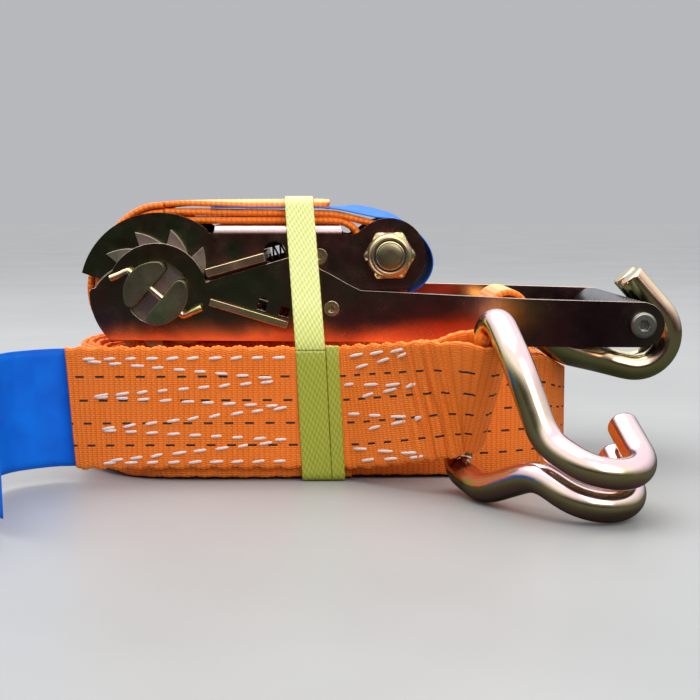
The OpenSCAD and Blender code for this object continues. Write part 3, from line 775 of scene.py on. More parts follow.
def woven_band(name, base):
    """Packing band: flat plastic ribbons crossing at a slant, with a painted highlight on the crests and painted shade
    in the hollows.
    """
    material, sh = new_material(name)
    u, v, _ = sh.split(sh.uv())
    # the two slants, in mm of the UVs, and the share of the height each gives
    slant_a = sh.add(sh.mul(u, 0.32), sh.mul(v, 0.85))
    slant_b = sh.sub(sh.mul(u, 0.42), sh.mul(v, 0.55))
    ribbons_a = sh.sine(slant_a, pitch=1.25)
    ribbons_b = sh.sine(slant_b, pitch=1.35)
    weave = sh.mul_add(ribbons_a, 0.32, sh.mul(ribbons_b, 0.26))
    height = sh.mul_add(weave, 0.9, 0.5, clamp=True)
    # painted highlight on the crests, painted shade in the hollows between the ribbons
    light = tuple(min(1, c * 1.16 + 0.03) for c in base)
    dark = tuple(c * 0.80 for c in base)
    colour = sh.ramp(height, [(0.05, dark), (0.5, base), (0.95, light)])
    # darker downwards from z = 0.072, fully so 0.024 below that
    z = sh.split(sh.coord())[2]
    lower = sh.div(sh.sub(0.072, z), 0.024, clamp=True)
    colour = sh.mix(lower, colour, (0.60, 0.63, 0.22), "MULTIPLY")
    sh.surface({"Base Color": colour, "Roughness": 0.36, "Subsurface Weight": 0.25,
                "Subsurface Radius": (0.002, 0.002, 0.0006), "Subsurface Scale": 1.0})
    sh.bump(height, strength=0.7, distance=0.00025)
    return material


def thread(name, tone):
    material, sh = new_material(name)
    fuzz = sh.noise(Vector=sh.coord(), Scale=1800.0, Detail=3.0)
    colour = sh.ramp(fuzz, [(0.3, tuple(c * 0.72 for c in tone)), (0.65, tone)])
    sh.surface({"Base Color": colour, "Roughness": 0.5, "Sheen Weight": 0.3})
    sh.bump(fuzz, strength=0.5, distance=0.0001)
    return material


# top: a painted highlight on upward faces; low: a maroon painted reflection of the orange strap along the lower edge
FRAME_ZINC = zinc(
    "zinc_frame",
    tones=[(0.115, 0.145, 0.070), (0.16, 0.15, 0.085), (0.26, 0.085, 0.075),
           (0.11, 0.145, 0.075)],
    edge=(0.34, 0.27, 0.18), rough=0.22, blotch=20, wear=0.35, top=(0.60, 0.47, 0.48),
    low=(0.060, 0.085, (0.26, 0.07, 0.07), 0.5),
    zones=((-0.088, 0.094, 0.036, 0.026, (0.085, 0.125, 0.055), 0.8),
           (0.030, 0.088, 0.030, 0.016, (0.13, 0.045, 0.050), 0.7)))
# top: a painted highlight on upward faces; low: an orange painted reflection of the strap along the lower edge
HANDLE_ZINC = zinc(
    "zinc_handle",
    tones=[(0.11, 0.13, 0.07), (0.17, 0.13, 0.085), (0.26, 0.075, 0.07), (0.20, 0.12, 0.06)],
    edge=(0.36, 0.24, 0.16), rough=0.21, blotch=17, wear=0.35, top=(0.62, 0.50, 0.42),
    low=(0.0545, 0.0645, (0.95, 0.15, 0.03), 0.95),
    zones=((-0.062, 0.084, 0.050, 0.020, (0.10, 0.125, 0.055), 0.75),
           (0.045, 0.066, 0.030, 0.014, (0.20, 0.045, 0.060), 0.7),
           (0.110, 0.062, 0.024, 0.030, (0.045, 0.026, 0.034), 0.93),
           # a painted reflection of the orange strap: a small orange patch on the plate
           (0.0745, 0.068, 0.0085, 0.0055, (0.90, 0.42, 0.10), 0.8)))
BRIGHT_ZINC = zinc(
    "zinc_bright",
    tones=[(0.52, 0.50, 0.20), (0.72, 0.60, 0.30), (0.78, 0.50, 0.34), (0.54, 0.54, 0.24)],
    edge=(0.80, 0.66, 0.44), rough=0.22, blotch=60, wear=0.4)
HOOK_TONES = [(0.50, 0.54, 0.20), (0.72, 0.62, 0.30), (0.66, 0.36, 0.32), (0.44, 0.48, 0.16)]
# the hooks' facing ramps run from painted shade on faces turned down to a painted highlight on faces turned up
SHORT_HOOK_ZINC = zinc(
    "zinc_hook", tones=HOOK_TONES, edge=(0.70, 0.68, 0.30),
    rough=0.13, blotch=24, wear=0.12, grain=0.02,
    film_and_light=[(0.05, (0.34, 0.38, 0.13)), (0.22, (0.36, 0.40, 0.14)), (0.36, (0.46, 0.52, 0.18)),
          (0.50, (0.62, 0.54, 0.24)), (0.62, (0.66, 0.40, 0.32)), (0.78, (0.82, 0.68, 0.44))])
LONG_HOOK_ZINC = zinc(
    "zinc_hook_film_and_light", tones=HOOK_TONES, edge=(0.84, 0.82, 0.46),
    rough=0.15, blotch=24, wear=0.12, grain=0.02,
    film_and_light=[(0.05, (0.30, 0.32, 0.10)), (0.20, (0.46, 0.20, 0.25)), (0.36, (0.50, 0.38, 0.20)),
          (0.50, (0.74, 0.68, 0.28)), (0.62, (0.80, 0.64, 0.46)), (0.80, (0.80, 0.58, 0.66))])
WHEEL_ZINC = zinc(
    "zinc_matt",
    tones=[(0.27, 0.25, 0.18), (0.34, 0.29, 0.22), (0.36, 0.26, 0.23), (0.28, 0.28, 0.19)],
    edge=(0.42, 0.37, 0.28), rough=0.42, blotch=55, wear=0.6, grain=0.3)
SHAFT_ZINC = zinc(
    "zinc_shaft",
    tones=[(0.19, 0.235, 0.10), (0.25, 0.25, 0.13), (0.27, 0.21, 0.13), (0.21, 0.25, 0.11)],
    edge=(0.66, 0.64, 0.40), rough=0.34, blotch=80, wear=0.5)
GREY_ZINC = zinc(
    "zinc_grey",
    tones=[(0.22, 0.24, 0.20), (0.30, 0.31, 0.26), (0.34, 0.32, 0.30), (0.26, 0.29, 0.23)],
    edge=(0.45, 0.44, 0.40), rough=0.30, blotch=70)
GRIP_ZINC = zinc(
    "zinc_grip", tones=[(0.045, 0.05, 0.06), (0.06, 0.06, 0.07), (0.05, 0.045, 0.05)],
    edge=(0.16, 0.17, 0.20), rough=0.25, blotch=60, wear=0.4)
SPRING_WIRE = zinc(
    "spring_wire", tones=[(0.13, 0.13, 0.10), (0.17, 0.16, 0.13), (0.15, 0.14, 0.11)],
    edge=(0.3, 0.28, 0.25), rough=0.25, blotch=90)
NUT_ZINC = zinc(
    "zinc_nut",
    tones=[(0.42, 0.42, 0.18), (0.56, 0.48, 0.24), (0.58, 0.40, 0.26), (0.44, 0.46, 0.20)],
    edge=(0.72, 0.62, 0.42), rough=0.26, blotch=70, wear=0.35)
EDGE_WEB = webbing("webbing_orange")
FLAT_WEB = webbing("webbing_orange_flat", pale=0.75)
LABEL_BLUE = woven_label("label_blue")
UPPER_BAND = woven_band("band_lime", base=(0.66, 0.70, 0.25))
LOWER_BAND = woven_band("band_olive", base=(0.64, 0.66, 0.20))
WHITE_THREAD = thread("thread_white", tone=(0.90, 0.74, 0.68))
DARK_NYLON = thread("nylon_dark", tone=(0.02, 0.02, 0.02))


# ------------------------------------------------------------------ metal parts of the CAD
def dress_cad(name, material, bevel):
    """Keeps the node's mesh, merges its triangles into flat faces and rounds its edges."""
    o = frame["nodes"][name]
    me = o.data
    custom = me.attributes.get("custom_normal")
    if custom is not None:
        me.attributes.remove(custom)
    me.polygons.foreach_set("use_smooth", [True] * len(me.polygons))
    weld = o.modifiers.new("join", "WELD")
    weld.merge_threshold = 0.000004
    flatten = o.modifiers.new("flat", "DECIMATE")
    flatten.decimate_type = "DISSOLVE"
    flatten.angle_limit = math.radians(2.0)
    edges = o.modifiers.new("edges", "BEVEL")
    edges.width = bevel * MM
    edges.segments = 2
    edges.limit_method = "ANGLE"
    edges.angle_limit = math.radians(34)
    edges.harden_normals = True
    edges.miter_outer = "MITER_ARC"
    edges.use_clamp_overlap = True
    split = o.modifiers.new("tri", "TRIANGULATE")
    split.keep_custom_normals = True
    me.materials.clear()
    me.materials.append(material)


# material, bevel in mm, nodes
for material, bevel, names in (
        (FRAME_ZINC, 0.35, ["ratchet_frame"]),
        (HANDLE_ZINC, 0.35, ["handle_plate_near", "handle_plate_far"]),
        (WHEEL_ZINC, 0.3, ["ratchet_wheel_near", "ratchet_wheel_far"]),
        (SHAFT_ZINC, 0.55, ["half_shaft_upper", "half_shaft_lower"]),
        (BRIGHT_ZINC, 0.3, ["frame_pawl", "handle_pawl", "handle_bridge",
                            "frame_bolt_sleeve"]),
        (BRIGHT_ZINC, 0.25, ["frame_cross_rivet", "handle_cross_rivet"]),
        (BRIGHT_ZINC, 0.5, ["frame_bolt"]),
        (GREY_ZINC, 0.4, ["grip_bolt_nut"]),
        (GREY_ZINC, 0.3, ["grip_bolt"]),
        (GRIP_ZINC, 0.5, ["grip_roller"])):
    for name in names:
        dress_cad(name, material, bevel)


def finish_piece(o, material, body, nodes, slot):
    """Gives a new piece its material, the body it rides, the nodes it replaces and its slot."""
    o.data.materials.append(material)
    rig.ride(o, body)
    if nodes:
        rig.replaces(o, *nodes)
    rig.slot(o, slot)


# ------------------------------------------------------------------ claw hooks
# in the hook's own frame: the crossbar runs along y through the origin, the bowl lies at +x
HOOK_CORNERS = [(0, 0, 0), (0, 34.2, 0), (22, 26.7, -17), (42, 6.7, -23)]
HOOK_BENDS = ((7, 12), (22, 8), (16, 8))         # bend radius and segments
BOWL, BOWL_R = np.array([58.2, 6.7, -11.7]), 15.0
BOWL_START = 255
LIP = np.array([-0.667, 0, 0.745])               # direction of the straight tip


def on_bowl(degrees):
    return BOWL + BOWL_R * upright(polar(degrees))


def hook_half(side):
    """Half of the wire, from the crossbar's middle to the tip; side is -1 or 1 along y."""
    corners = [*HOOK_CORNERS, on_bowl(BOWL_START)]
    points = [np.zeros(3)]
    for i, (radius, count) in enumerate(HOOK_BENDS):
        points += corner(*corners[i:i + 3], radius, count)
    points += [on_bowl(a) for a in np.arange(BOWL_START, 401.7, 5)]
    bowl_end = on_bowl(401.8)
    points += [bowl_end + 12 * LIP, bowl_end + 21 * LIP]
    points = np.array(points)
    points[:, 1] *= side
    return points


def claw_hook(name, centre, axes, material, body, node):
    path = soft_path(np.concatenate([hook_half(-1)[::-1], hook_half(1)[1:]]), 4, step=1.4)
    u, v, w = axes
    path = centre + path[:, :1] * u + path[:, 1:2] * v + path[:, 2:] * w
    finish_piece(tube(name, path, WIRE_R, 36), material, body, [node], "hook_steel")


# the long strap's hook lies askew: its own x, y and z directions
LONG_U = unit([0.7925, -0.5003, -0.3488])
LONG_V = np.array([-0.1772, 0.3584, -0.9166])
LONG_V = unit(LONG_V - (LONG_V @ LONG_U) * LONG_U)
LONG_AXES = (LONG_U, LONG_V, np.cross(LONG_U, LONG_V))
claw_hook("claw_hook_short", SHORT_HOOK, np.eye(3), SHORT_HOOK_ZINC,
          "ratchet_hook", "ratchet_claw_hook")
claw_hook("claw_hook_long", LONG_HOOK, LONG_AXES, LONG_HOOK_ZINC,
          "strap_hook", "strap_claw_hook")


# ------------------------------------------------------------------ cotter pins
def cotter_pins():
    """A wire through the spindle at each side, its ends bent apart."""
    reach, bore = 13.9, polar(140)
    head, foot = SPINDLE + reach * bore, SPINDLE - reach * bore
    points = [head + 8.6 * polar(200), head + 4 * polar(198), head + 1.2 * polar(185),
              head - 1.2 * bore, SPINDLE, foot + 1.2 * bore,
              foot + 1.2 * polar(5), foot + 4 * polar(18), foot + 8.6 * polar(20)]
    for side, y, nodes in (("near", -41.6, ["cotter_pins"]), ("far", 41.6, [])):
        path = [upright(p, y) for p in smooth(points, 10)]
        finish_piece(tube(f"cotter_{side}", path, 1.45, 20), BRIGHT_ZINC,
                     "spindle", nodes, "plated_gold")


cotter_pins()


# ------------------------------------------------------------------ pawl springs
def helix(start, direction, length, radius, turns, count):
    """A coil of count points to a turn."""
    d = unit(direction)
    a = unit(np.cross(d, Z_AXIS))
    b = np.cross(d, a)
    points = []
    for i in range(turns * count + 1):
        t = 2 * math.pi * i / count
        points.append(start + d * length * i / (turns * count)
                      + radius * (math.cos(t) * a + math.sin(t) * b))
    return points


def frame_pawl_spring():
    length = 22.6
    direction = upright(polar(15.5))
    start = upright(SPINDLE + (20.5, 8.1)) + direction * 25.8
    o = tube("spring_frame_pawl", helix(start, direction, length, 2.6, 7, 28), 0.45, 12)
    finish_piece(o, SPRING_WIRE, "frame", ["frame_pawl_spring"], "spring_steel")
    end = (start + direction * length) / 1000
    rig.squash(o, "frame_pawl_slide", tuple(float(c) for c in direction),
              tuple(float(c) for c in end), keep=0.62)


def handle_pawl_spring():
    direction = upright(polar(-16.8))
    start = upright(SPINDLE + (21.8, -3.7)) + direction * 28.9 + np.array([0, 0, 0.5])
    o = tube("spring_handle_pawl", helix(start, direction, 13.0, 1.6, 6, 28), 0.4, 12)
    finish_piece(o, SPRING_WIRE, "handle", ["handle_pawl_spring"], "spring_steel")


frame_pawl_spring()
handle_pawl_spring()


# ------------------------------------------------------------------ nut on the frame bolt
def lock_nut():
    """A chamfered hexagon with a round collar, open along the bolt's axis."""
    m = 96
    bearing_y, hex_y, collar_y = -30.25, -36.4, -38.6
    flats, collar_r, bore_r = 19.0, 8.9, 6.0
    turned = math.radians(1)
    corner_r = flats / math.sqrt(3) * 0.985      # the chamfer trims the corners

    def hexagon(a):
        return flats / 2 / math.cos((a - turned) % (math.pi / 3) - math.pi / 6)

    def hex_row(share):
        return lambda a: min(hexagon(a) * share, corner_r)

    def round_row(radius):
        return lambda a: radius

    # y and the radius at an angle, from the bearing face over the collar and down the bore
    rows = [(bearing_y, hex_row(0.93)), (bearing_y - 0.5, hex_row(1.0)),
            (hex_y + 0.9, hex_row(1.0)),
            (hex_y, lambda a: min(hexagon(a), flats / 2 * 0.985)),
            (hex_y - 0.1, round_row(collar_r)),
            (collar_y + 0.9, round_row(collar_r - 0.15)),
            (collar_y + 0.25, round_row(collar_r - 0.75)),
            (collar_y, round_row(collar_r - 1.5)),
            (collar_y + 0.1, round_row(bore_r + 0.9)),
            (collar_y + 0.6, round_row(bore_r + 0.5)),
            (collar_y + 2.5, round_row(bore_r + 0.4)),
            (bearing_y, round_row(bore_r + 0.4))]
    verts = []
    for y, radius in rows:
        for j in range(m):
            a = 2 * math.pi * j / m
            r = radius(a)
            verts.append((BOLT[0] + r * math.cos(a), y, BOLT[1] + r * math.sin(a)))
    faces = skin(len(rows), m) + bridge((len(rows) - 1) * m, 0, m)
    o = build_mesh("lock_nut", verts, faces)
    sharpen(o, 24)
    finish_piece(o, NUT_ZINC, "frame", ["frame_bolt_nut"], "plated_gold")


lock_nut()
# profiles are (y, r)
INSERT = [(-37.0, 7.0), (-38.15, 7.0), (-38.3, 6.8), (-38.3, 6.2), (-38.0, 6.05),
          (-37.0, 6.05), (-37.0, 7.0)]
TIP = [(-39.5, 0.0), (-40.1, 0.0), (-40.15, 2.0), (-40.0, 4.2), (-39.6, 5.3), (-38.9, 5.9),
       (-37.2, 5.95), (-37.2, 0.0)]
finish_piece(lathe("lock_nut_insert", INSERT, BOLT), DARK_NYLON, "frame", (), "frame_steel")
finish_piece(lathe("bolt_tip", TIP, BOLT, m=72), SHAFT_ZINC, "frame", (), "plated_gold")

# ------------------------------------------------------------------ short strap
TOP_W, RUN_W = 49, 46


def short_strap_layers():
    """The two upper layers and the eye round the bolt; points are (x, z)."""
    points = [(-66, 105.1), (-30, 105.1), (-4, 105.1), (5.8, 105.0), (11.6, 102.4)]
    points += arc(BOLT, 9.7 + WEB_T / 2, 158, 440, 40)
    points += [(13, 105.5), (4, 107.7), (-8, 108.0), (-30, 108.2), (-56, 108.6), (-68, 108.6)]
    path = soft_path(upright_all(points), 6)
    path[:, 2] += 0.08
    o, *_ = strap("short_strap_layers", path, Y_AXIS, TOP_W, WEB_T + 0.35, seed=3)
    finish_piece(o, FLAT_WEB, "frame", ["short_strap_top"], "webbing")


def short_strap_tail():
    """The loose end on top, its long edges hanging a little; points are (x, z)."""
    points = [(-68, 111.9), (-56, 112.7), (-35, 113.1), (-15, 113.2), (-3, 113.3),
              (1.6, 112.9)]

    def hang(s, v):
        return -np.clip((s - 6) / 30, 0, 1) * 2.1 * (abs(v) / (TOP_W / 2)) ** 2.2

    o, *_ = strap("short_strap_tail", upright_all(smooth(points, 8)), Y_AXIS, TOP_W,
                  WEB_T - 0.35, seed=4, end_round=6, relief=hang)
    finish_piece(o, FLAT_WEB, "frame", (), "webbing")


def short_strap_run():
    """The lower run, out to the hook's crossbar and back; points are (x, z)."""
    points = [(-75.6, 52.4), (-40, 52.4), (20, 52.4), (44, 52.5), (56, 53.4), (68, 57.0)]
    points += arc(SHORT_HOOK[[0, 2]], WIRE_R + 0.6 + WEB_T / 2, -66, 138, 30)
    points += [(67, 66.0), (61, 60.6), (51, 56.6), (40, 55.4), (20, 55.3), (-40, 55.3),
               (-75.6, 55.3)]
    path = soft_path(upright_all(points), 5)
    o, *_ = strap("short_strap_run", path, Y_AXIS, RUN_W, WEB_T, seed=5)
    finish_piece(o, FLAT_WEB, "handle", ["short_strap_under"], "webbing")


def short_strap_wraps():
    """Two layers round the spindle end that join the upper layers to the lower run."""
    start_x, start_z = 1.7, 36.2         # from the spindle
    outer = [(98, 35.7), (108, 34.6), (119, 33), (132, 31.3), (150, 30.2), (170, 29.8),
             (190, 29.4), (208, 28.4), (224, 26.8)]      # angle and radius about it
    # inset from the outer layer, and the last two (x, z)
    layers = ((3.1, [(-82.3, 56.6), (-76, 55.3)]), (0.0, [(-82.6, 53.4), (-76, 52.4)]))
    for k, (inset, last) in enumerate(layers):
        points = [SPINDLE + (start_x, start_z - inset)]
        points += [SPINDLE + (r - inset) * polar(a) for a, r in outer]
        path = upright_all(smooth(points + last, 8))
        o, *_ = strap(f"short_strap_wrap_{k}", path, Y_AXIS, TOP_W, WEB_T, seed=6 + k)
        o.data.materials.append(FLAT_WEB)
        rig.blend(o, "frame", "handle", start=(-0.072, 0, 0.108), end=(-0.078, 0, 0.056))
        if k == 0:
            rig.replaces(o, "short_strap_bend")
        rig.slot(o, "webbing")


def short_strap_label():
    """The label along the top and down round the bolt's eye; points are (x, z)."""
    points = [(-48.5, 110.55), (-20, 110.6), (-4, 110.6), (4, 110.1), (12, 108.9), (20, 107.3)]
    about_bolt = ((74, 15.7), (56, 15.2), (38, 15.4), (20, 16.6), (2, 18.3), (-16, 19.5),
                  (-34, 19.5), (-50, 18.8))      # angle and radius
    points += [BOLT + r * polar(a) for a, r in about_bolt] + [(35, 74.8)]
    path, s = resample(upright_all(smooth(points, 6)), 1.0)
    path = soften(path, 4)
    # the near edge lies down on the strap and the far edge stands off, most over the bolt
    roll = np.interp(s, [0, 46, 55, 62, 70, 80, 90, 200],
                     [0, 0, 1.6, 4.2, 4.6, 2.2, 0.3, 0])
    across = []
    for i, angle in enumerate(roll):
        c, d = polar(angle)
        across.append(np.array([0, c, d]))
        past = path[i][0] > BOLT[0] - 6
        away = upright(path[i][[0, 2]] - BOLT) if past else Z_AXIS
        path[i] = path[i] + unit(away) * 0.7 * 24.8 * d
    o = sheet("short_strap_label_cloth", path, across, 49.7, CLOTH_T)
    finish_piece(o, LABEL_BLUE, "frame", ["short_strap_label"], "label")


short_strap_layers()
short_strap_tail()
short_strap_run()
short_strap_wraps()
short_strap_label()


# ------------------------------------------------------------------ long strap's coil
def coil_points():
    """The coil in plan, (x, y), from its middle outwards to the start of the leg."""
    points = [(HALF_RUN, LAYER / 4)]
    for k in range(TURNS):
        side, start = (-1, 90) if k % 2 == 0 else (1, -90)
        centre = np.array([side * HALF_RUN, side * LAYER / 4])
        points += arc(centre, LAYER / 2 * (k + 1), start, start + 180, 10 if k < 8 else 22)
    return points + [(10, LEG_IN_Y)]


def hook_dent(x, y):
    """How far the hook lying across the coil's +X end presses its upper edge down."""
    return min(8.3, max(0.0, 0.5 * (x - 90) + 0.6)) * min(1.0, max(0.0, (41 - abs(y)) / 8))


def ease(t):
    t = min(1.0, max(0.0, t))
    return t * t * (3 - 2 * t)


def end_lift(x, y):
    """The outer turns rise at the coil's -X end."""
    return 4.2 * ease((-x - 78) / 24) * ease((math.hypot(-x - HALF_RUN, y) - 36) / 15)


def edge_sag(s):
    """Slow unevenness of the coil's height along the strap, in two wavelengths."""
    return (1.5 * noise.noise(Vector((s / 140.0, 3.1, 0)))
            + 0.7 * noise.noise(Vector((s / 37.0, 9.7, 0))))


def long_strap_coil():
    width, step = 47.8, 1.15
    path, lengths = resample([(p[0], p[1], 0) for p in coil_points()], step)
    sag = np.clip([edge_sag(s) for s in lengths], -0.6, 0.0)
    lift = np.array([end_lift(x, y) for x, y, _ in path])
    height = width - np.array([hook_dent(x, y) for x, y, _ in path])
    path[:, 2] = 1.3 + height / 2 + sag + lift
    o, *_ = strap("long_strap_coil_turns", path, Z_AXIS, width, WEB_T - 0.1, step=step,
                  cells=4, rib=0.0, seed=11, scallop=0.4, scale=height / width)
    finish_piece(o, EDGE_WEB, "coil", ["long_strap_coil"], "webbing")


long_strap_coil()

# ------------------------------------------------------------------ long strap's eye and leg
LEG_W, EYE_W = 49.6, 46.0
EYE_R = WIRE_R + 1.5 + WEB_T / 2
EYE_UP = -LONG_V                 # width direction in the eye, along the crossbar
# x, y, height over LEG_Z, turn of the width from upright to EYE_UP, width
LEG_TO_HOOK = [
    (10.7, LEG_IN_Y, 0, 0, 48.0), (13.4, LEG_IN_Y - 0.5, 0.3, 0, 48.0),
    (17, -57.9, 0.9, 0.1, 48.0), (24.5, -66.4, 2.4, 0.3, 47.5), (33, -74.6, 5, 0.55, 47.0),
    (41, -78.4, 8, 0.8, 46.5), (48.5, -79.6, 10.6, 0.95, 46.0)]
LEG_FROM_HOOK = [
    (46, -90.6, 7.9, 0.9, 46.0), (40, -86.0, 7.0, 0.75, 46.4), (33.5, -80.2, 5.5, 0.6, 47.0),
    (27.5, -74.7, 4.1, 0.4, 47.8), (21.5, -68.9, 2.8, 0.2, 48.6), (16, -63.7, 1.6, 0.1, 49.3),
    (12, -60, 0.7, 0, LEG_W), (8, LEG_OUT_Y, 0, 0, LEG_W), (-105, LEG_OUT_Y, 0, 0, LEG_W)]


def eye_arc():
    """The turn round the hook's crossbar, on the +X side."""
    a = unit(np.cross(LONG_V, Y_AXIS))
    b = np.cross(LONG_V, a)
    a = a if a[0] > 0 else -a
    b = b if b[2] > 0 else -b
    return [LONG_HOOK + EYE_R * (c * a + d * b)
            for c, d in (polar(t) for t in np.linspace(95, -122, 15))]


def leg_rows(stations):
    """Points, and rows of width direction and width, from a table of stations."""
    points = [np.array([x, y, LEG_Z + up]) for x, y, up, _, _ in stations]
    rows = [[*unit(Z_AXIS * (1 - turn) + EYE_UP * turn), width]
            for _, _, _, turn, width in stations]
    return points, rows


def long_strap_leg():
    """The webbing out to the hook and back along the coil's near side."""
    eye = eye_arc()
    out_points, out_rows = leg_rows(LEG_TO_HOOK)
    back_points, back_rows = leg_rows(LEG_FROM_HOOK)
    rows = out_rows + [[*EYE_UP, EYE_W]] * len(eye) + back_rows
    path, _, rows = resample(out_points + eye + back_points, 1.2, rows)
    path, rows = soften(path, 14), soften(rows, 10)
    across, scale = rows[:, :3], rows[:, 3] / LEG_W
    # the webbing's width stays nearly square to its run
    along = unit_rows(np.gradient(path, axis=0))
    across = across - 0.85 * np.sum(across * along, axis=1)[:, None] * along
    across = soften(unit_rows(across), 6)
    length = float(np.sum(np.linalg.norm(np.diff(path, axis=0), axis=1)))

    def folds(s, v):
        # folds where the leg leaves the coil for the eye, and a slow swell all along
        x = length - s
        near_bend = np.exp(-((x - 157) / 12.0) ** 2)
        coarse = 0.60 * np.sin(x * 2 * math.pi / 4.9 + 0.05 * v + 0.7 * np.sin(v / 7))
        fine = 0.36 * np.sin(x * 2 * math.pi / 2.9 - 0.08 * v)
        return near_bend * (coarse + fine) + 0.16 * np.sin(x / 11.0 + v * 0.12)

    o, *surface = strap("long_strap_leg", path, across, LEG_W, WEB_T, step=0.57, cells=26,
                        rib=0.21, seed=12, scallop=0.4, wave=0.42, relief=folds,
                        scale=scale, slant=3.8)
    finish_piece(o, EDGE_WEB, "coil", ["long_strap_eye"], "webbing")
    return surface


# ------------------------------------------------------------------ stitching on the leg
def leg_stitching(path, across, face):
    rnd = random.Random(7)
    pitch, stitch = 8.5, 5.2
    band_from, band_to = -14.5, 7.8      # no stitches under the packing bands
    # the part of the leg after its turn at the hook, in rising x
    turn = int(np.argmax(path[:, 0]))
    front = [i for i in range(turn, len(path)) if path[i][0] < 50][::-1]
    path, across, face = path[front], across[front], face[front]
    outward = np.where(face[:, 1:2] < 0, face, -face)
    items = []

    def on_leg(x, z):
        """The point of the leg's near face at this x and height, and the way it faces."""
        point, width_dir, out = (np.array([np.interp(x, path[:, 0], column)
                                           for column in rows.T])
                                 for rows in (path, across, outward))
        width_dir, out = unit(width_dir), unit(out)
        if width_dir[2] < 0:
            width_dir = -width_dir
        return point + width_dir * (z - LEG_Z) + out * (WEB_T / 2 + 0.08), out

    def sew(x0, z0, x1, z1, first):
        """A row of stitches between two points, the first one this far along."""
        length = math.hypot(x1 - x0, z1 - z0)
        start = np.array([x0, z0])
        along = np.array([(x1 - x0) / length, (z1 - z0) / length])
        s = first
        while s < length:
            e = min(s + stitch * rnd.uniform(0.88, 1.12), length)
            if e - s > 1.2:
                tilt = rnd.uniform(0.1, 0.45)
                a = start + along * s + np.array([0, -tilt])
                b = start + along * e + np.array([0, tilt])
                if band_from < b[0] and a[0] < band_to:
                    s += pitch
                    continue
                point, out = on_leg(*a)
                items.append((point, on_leg(*b)[0], out))
            s += pitch * rnd.uniform(0.96, 1.04)

    sew(-98.5, 50.2, 36, 50.9, 0.5)
    sew(-92.5, 8.0, 34, 8.8, 2.0)
    # zigzag rows: heights at the -X end, the middle and the +X end
    left, middle, right = (49.4, 35.0, 21.5, 8.4), (41.5, 30.6, 17.0), (49.4, 37.0, 24.0, 9.6)
    for i in range(3):
        sew(-97 + 2 * i, left[i], -14, middle[i], 1.0 + i)
        sew(-96 + 2 * i, left[i + 1], -14, middle[i], 2.3 + i)
        sew(-12, middle[i], 36, right[i], 1.0 + i)
        sew(-12, middle[i], 36, right[i + 1], 3.0 + i)
    o = threads("leg_stitching", items, radius=0.60, flat=0.66, m=10)
    finish_piece(o, WHITE_THREAD, "coil", (), "webbing")


leg_stitching(*long_strap_leg())


# ------------------------------------------------------------------ label of the long strap
def long_strap_label():
    """A label that leaves the leg's -X end and bends towards the viewer; points are (x, y)."""
    points = [(-97, LEG_OUT_Y + 2.0), (-105, LEG_OUT_Y + 2.0), (-109, LEG_OUT_Y + 1.3),
              (-113.5, -57.3), (-118.5, -61.2), (-124.6, -68), (-128.6, -80), (-129.4, -98),
              (-126.6, -118), (-120, -136), (-110, -150)]
    path = [(x, y, LEG_Z) for x, y in smooth(points, 12)]

    def ripple(s, v):
        return 0.5 * math.sin(s / 17.0 + v * 0.05) * min(1, s / 20)

    o = sheet("long_strap_label_cloth", path, Z_AXIS, 48, CLOTH_T, relief=ripple)
    finish_piece(o, LABEL_BLUE, "coil", ["long_strap_label"], "label")


long_strap_label()

# ------------------------------------------------------------------ packing band
SPLIT_Z = 53.4           # where the upper part of the band meets the coil


def upper_band():
    """Over the short strap's top, leaning to -X as it rises; points are (y, z)."""
    half = [(BAND_Y, SPLIT_Z), (BAND_Y - 0.8, 56.0), (26.8, 112.6), (25.2, 114.2), (12, 115.2)]
    points = [(-y, z) for y, z in half] + half[::-1]
    path = soft_path([(-6.6 - 0.0813 * (z - SPLIT_Z), y, z) for y, z in points], 3, step=0.8)
    o = sheet("band_upper", path, X_AXIS, BAND_W, BAND_T, step=0.8, cells=12)
    finish_piece(o, UPPER_BAND, "frame", ["packing_band_upper"], "band")


def lower_band(name, x, width, near_z, far_z, node):
    """Under the coil and up both sides to these heights; points are (y, z)."""
    lean = -2.6          # shift along x at z = 50
    points = [(-BAND_Y, near_z), (-BAND_Y, 2.2), (-BAND_Y + 1.6, BAND_T / 2),
              (BAND_Y - 1.6, BAND_T / 2), (BAND_Y, 2.2), (BAND_Y, far_z)]
    path = [(x + lean * max(0.0, min(1.0, z / 50)), y, z) for y, z in points]
    path = soft_path(path, 3, step=0.8)
    o = sheet(name, path, X_AXIS, width, BAND_T, step=0.8, cells=10)
    finish_piece(o, LOWER_BAND, "coil", [node], "band")


upper_band()
lower_band("band_lower", x=-4.0, width=BAND_W, near_z=53.25, far_z=53.25,
           node="packing_band_lower")
lower_band("band_second_turn", x=4.72, width=5.3, near_z=55.4, far_z=50,
           node="packing_band_second_wrap")


